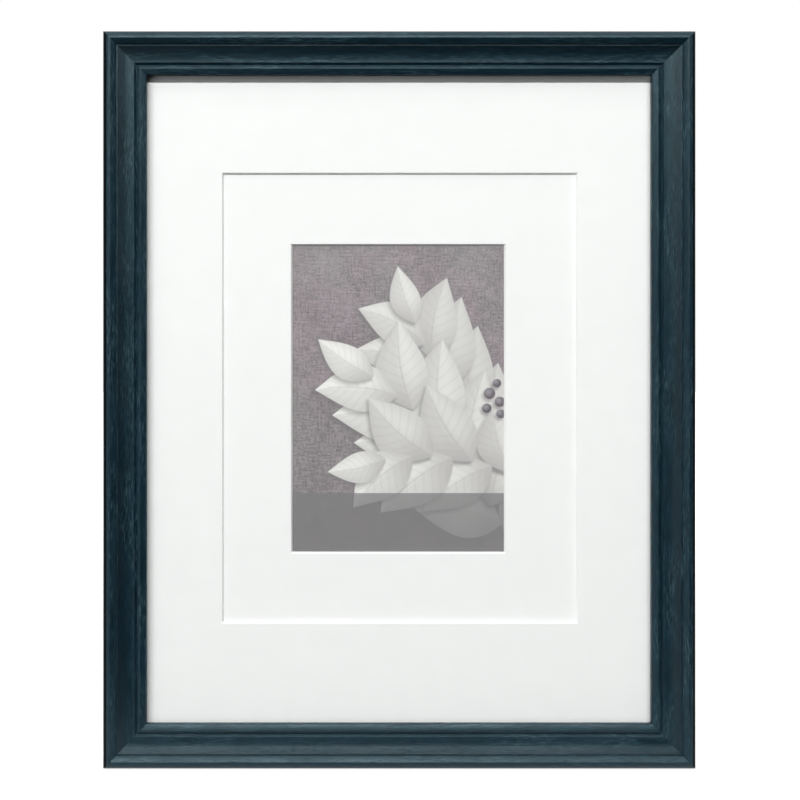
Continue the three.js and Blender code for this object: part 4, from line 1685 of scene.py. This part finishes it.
@cache
def turn_button_tree() -> Tree:
    """A stamped plate with rounded edges, wide at its screw hole and narrow at its tip, with a raised rib.

    Returns:
        The tree.
    """
    names = ("Pivot Radius", "Tip Radius", "Reach", "Thickness", "Rounding", "Hole Radius")
    names += ("Rib Start", "Rib Length", "Rib Width", "Rib Height", "Turn")
    inputs = {"Start": Socket.GEOMETRY} | dict.fromkeys(names, Socket.NUMBER)
    inputs |= {"Pivot": Socket.VECTOR, "Finish": Socket.MATERIAL}
    group = Group("turn_button", inputs, {"Button": Socket.GEOMETRY}, TreeKind.GEOMETRY)
    write, given = group.write, group.given
    ends = []
    for radius, along in ((given["Pivot Radius"], 0.0), (given["Tip Radius"], given["Reach"])):
        sizes = {"Radius": radius, "Height": given["Thickness"]}
        sizes |= dict.fromkeys(("Rounding", "Crown", "Foot Rounding"), given["Rounding"])
        disc = write.group(rounded_disc(), sizes)["Disc"]
        moved = {"Geometry": disc, "Translation": write.combine(along, 0.0, 0.0)}
        ends.append(write.take("GeometryNodeTransform", moved))
    both = write.take("GeometryNodeJoinGeometry", {0: ends})
    plate = write.take("GeometryNodeConvexHull", {0: both})
    ball = write.take("GeometryNodeMeshUVSphere", {"Segments": 32, "Rings": 16, "Radius": 1.0})
    half_rib = write.math("MULTIPLY", given["Rib Length"], 0.5)
    rib_side = write.math("MULTIPLY", given["Rib Width"], 0.5)
    rib_middle = write.math("ADD", given["Rib Start"], half_rib)
    rib = {
        "Geometry": ball,
        "Scale": write.combine(half_rib, rib_side, given["Rib Height"]),
        "Translation": write.combine(rib_middle, 0.0, given["Thickness"]),
    }
    ridge = write.take("GeometryNodeTransform", rib)
    stamped = write.solid("UNION", {"Mesh 2": [plate, ridge]})
    through = write.math("MULTIPLY", given["Thickness"], 4.0)
    hole = {"Vertices": 32, "Radius": given["Hole Radius"], "Depth": through}
    peg = write.take("GeometryNodeMeshCylinder", hole)
    button = shaded_by_angle(write, write.solid("DIFFERENCE", {"Mesh 1": stamped, "Mesh 2": peg}))
    facing = write.combine(-QUARTER, write.math("ADD", given["Turn"], QUARTER), 0.0)
    turned = write.take("FunctionNodeEulerToRotation", {0: facing})
    seated = {"Geometry": button, "Rotation": turned, "Translation": given["Pivot"]}
    button = write.take("GeometryNodeTransform", seated)
    return group.give(Button=write.finished(button, given["Finish"]))


@dataclass
class TurnButtons:
    """Eight turn buttons, each on its own body, in millimetres."""

    pivot_radius: float = 5.0
    tip_radius: float = 3.1
    rounding: float = 0.3
    hole_radius: float = 1.65
    rib_start: float = 3.9
    rib_width: float = 2.6
    rib_height: float = 0.35
    rib_into_tip: float = 0.6

    def build(self) -> None:
        """Make each button at the pivot of its joint."""
        for joint in frame["joints"]:
            place = joint["child"].removeprefix("button_")
            node = f"turn_button_{place}"
            side = Side[place.split("_")[0].upper()]
            low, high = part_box(node)
            long_side = (high.z - low.z if side.level else high.x - low.x) / MM
            reach = long_side - self.pivot_radius - self.tip_radius
            lengths = {
                "Pivot Radius": self.pivot_radius,
                "Tip Radius": self.tip_radius,
                "Reach": reach,
                "Thickness": (high.y - low.y) / MM,
                "Rounding": self.rounding,
                "Hole Radius": self.hole_radius,
                "Rib Start": self.rib_start,
                "Rib Length": reach - self.rib_start + self.rib_into_tip * self.tip_radius,
                "Rib Width": self.rib_width,
                "Rib Height": self.rib_height,
            }
            inputs = {name: length * MM for name, length in lengths.items()}
            pivot = (joint["pos_m"][0], low.y, joint["pos_m"][2])
            inputs |= {"Turn": side.value, "Pivot": pivot, "Finish": FINISHES.zinc.material()}
            mesh = grown(turn_button_tree(), points_mesh([pivot]), inputs)
            put(f"button_plate_{place}", mesh, Slot.ZINC, [node])


@dataclass
class BackFixings:
    """Screws, V-nails, hangers with their nails, and wall bumpers."""

    hanger_edge: float = 0.12

    def build(self) -> None:
        """Make each kind of fixing."""
        RoundFixing(
            piece="turn_screws",
            node_start="turn_screw_",
            slot=Slot.STEEL,
            finish=FINISHES.steel,
            head_radius=3.0,
            head_height=1.7,
            rounding=3.0,
            crown=1.2,
            shank_radius=SCREW_SHANK,
            shank_length=10.3,
            cross_length=3.4,
            cross_width=0.9,
            cross_depth=0.9,
            seed=4,
        ).build()
        for side in ("top", "left"):
            node = f"hanger_{side}"
            strip = eased_copy(node, self.hanger_edge * MM)
            put(f"hanger_strip_{side}", strip, Slot.ZINC, [node], FINISHES.zinc)
            RoundFixing(
                piece=f"hanger_nails_{side}",
                node_start=f"{node}_nail_",
                slot=Slot.STEEL,
                finish=FINISHES.steel,
                head_radius=1.7,
                head_height=0.7,
                rounding=1.7,
                crown=0.45,
                shank_radius=NAIL_SHANK,
                shank_length=9.3,
                seed=7,
            ).build()
        RoundFixing(
            piece="wall_bumpers",
            node_start="bumper_",
            slot=Slot.RUBBER,
            finish=FINISHES.rubber,
            head_radius=5.0,
            head_height=3.4,
            rounding=0.8,
            crown=0.8,
        ).build()
        FINISHES.steel.dress(*(name for name in frame["nodes"] if name.startswith("v_nail_")))


@dataclass
class Studio:
    """Floor, light from a long strip above the front, a dim room, and a level camera."""

    camera_distance: float = 0.515
    camera_offset: tuple[float, float] = (-0.022, 0.021)
    lens: float = 43.3
    framing: float = 0.0006
    sensor: float = 36.0
    clip_start: float = 0.01
    strip_size: tuple[float, float] = (2.2, 0.1)
    strip_offset: tuple[float, float, float] = (-0.3, -1.66, 1.17)
    strip_power: float = 46.3
    floor_half: float = 3.0
    floor_front: float = 0.07
    room_floor: float = 0.01
    room_low: float = 0.075
    room_high: float = 1.3
    floor_start: float = -0.6
    floor_end: float = 0.0
    ceiling_start: float = 0.42
    ceiling_end: float = 0.9
    card_direction: tuple[float, float, float] = (-0.60, -0.74, -0.31)
    card_edge: float = 0.88
    card_level: float = 1.3
    wall_start: float = 0.05

    def build(self) -> None:
        """Set the view, and make the floor, the light, the room and the camera."""
        scene = bpy.context.scene
        scene.view_settings.view_transform = "Standard"
        mat_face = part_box("outer_mat")[0].y
        middle = Vector((0.0, mat_face, (CAD_BOX[0][2] + CAD_BOX[1][2]) / 2))
        self.lay_floor()
        self.hang_strip(middle)
        self.light_room(scene)
        self.set_camera(scene, middle)

    def lay_floor(self) -> None:
        """Lay the floor under the lowest edge of the object."""
        bm = bmesh.new()
        bmesh.ops.create_grid(bm, x_segments=2, y_segments=2, size=self.floor_half)
        for vertex in bm.verts:
            vertex.co.y += self.floor_half - self.floor_front
            vertex.co.z = CAD_BOX[0][2]
        mesh = plain_mesh(bm, "floor")
        mesh.materials.append(PaleFloor().material())
        floor = in_scene("floor", mesh)

    def hang_strip(self, middle: Vector) -> None:
        """Hang the strip light and aim it square at the height of the picture's middle.

        Args:
            middle: the middle of the picture.
        """
        lamp = bpy.data.lights.new("strip_light", "AREA")
        lamp.shape = "RECTANGLE"
        lamp.size, lamp.size_y = self.strip_size
        lamp.energy = self.strip_power
        strip = in_scene("strip_light", lamp)
        strip.location = middle + Vector(self.strip_offset)
        aim = Vector((strip.location.x, middle.y, middle.z)) - strip.location
        strip.rotation_euler = aim.to_track_quat("-Z", "Y").to_euler()

    def light_room(self, scene: bpy.types.Scene) -> None:
        """Light the room dimly, more from above and from a card low on the left, with white behind.

        Args:
            scene: the scene.
        """
        world = bpy.data.worlds.new("room")
        scene.world = world
        world.use_nodes = True
        world.node_tree.nodes.clear()
        write = NodeWriter(world.node_tree)
        direction = write.add("ShaderNodeTexCoord").outputs["Generated"]
        _, behind, up = write.separate(direction)
        level = write.spread(up, self.floor_start, self.floor_end, self.room_floor, self.room_low)
        ceiling = write.spread(up, self.ceiling_start, self.ceiling_end, 0.0, self.room_high)
        level = write.math("ADD", level, ceiling)
        to_card = write.vector("DOT_PRODUCT", direction, self.card_direction)
        level = write.math("ADD", level, write.spread(to_card, self.card_edge, 1.0, 0.0, self.card_level))
        path = write.add("ShaderNodeLightPath").outputs
        back_wall = write.math("GREATER_THAN", behind, self.wall_start)
        mirrored = write.math("MULTIPLY", path["Is Glossy Ray"], back_wall)
        seen = write.math("MAXIMUM", path["Is Camera Ray"], path["Is Transmission Ray"])
        white = write.math("MAXIMUM", seen, mirrored)
        colour = write.blend(white, write.combine(level, level, level), (1.0, 1.0, 1.0))
        background = write.add("ShaderNodeBackground", {"Color": colour, "Strength": 1.0})
        write.add("ShaderNodeOutputWorld", {"Surface": background.outputs[0]})

    def set_camera(self, scene: bpy.types.Scene, middle: Vector) -> None:
        """Put the camera square to the picture, a little off its middle, with the lens shifted back to it.

        Args:
            scene: the scene.
            middle: the middle of the picture.
        """
        aside, above = self.camera_offset
        lens = bpy.data.cameras.new("camera")
        lens.lens = self.lens
        lens.sensor_width = self.sensor
        lens.clip_start = self.clip_start
        rim_distance = middle.y - self.camera_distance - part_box("rail_top")[0].y
        lens.shift_x = aside / rim_distance * self.lens / lens.sensor_width + self.framing
        lens.shift_y = above / rim_distance * self.lens / lens.sensor_width
        camera = in_scene("camera", lens)
        camera.location = middle + Vector((aside, -self.camera_distance, above))
        camera.rotation_euler = (QUARTER, 0.0, 0.0)
        scene.camera = camera


def main() -> None:
    """Build the studio and the object's sub-assemblies in order."""
    logging.basicConfig(level=logging.INFO, format="%(name)s: %(message)s")
    for assembly in (Studio(), Moulding(), SheetStack(), TurnButtons(), BackFixings()):
        assembly.build()


if __name__ == "__main__":
    main()
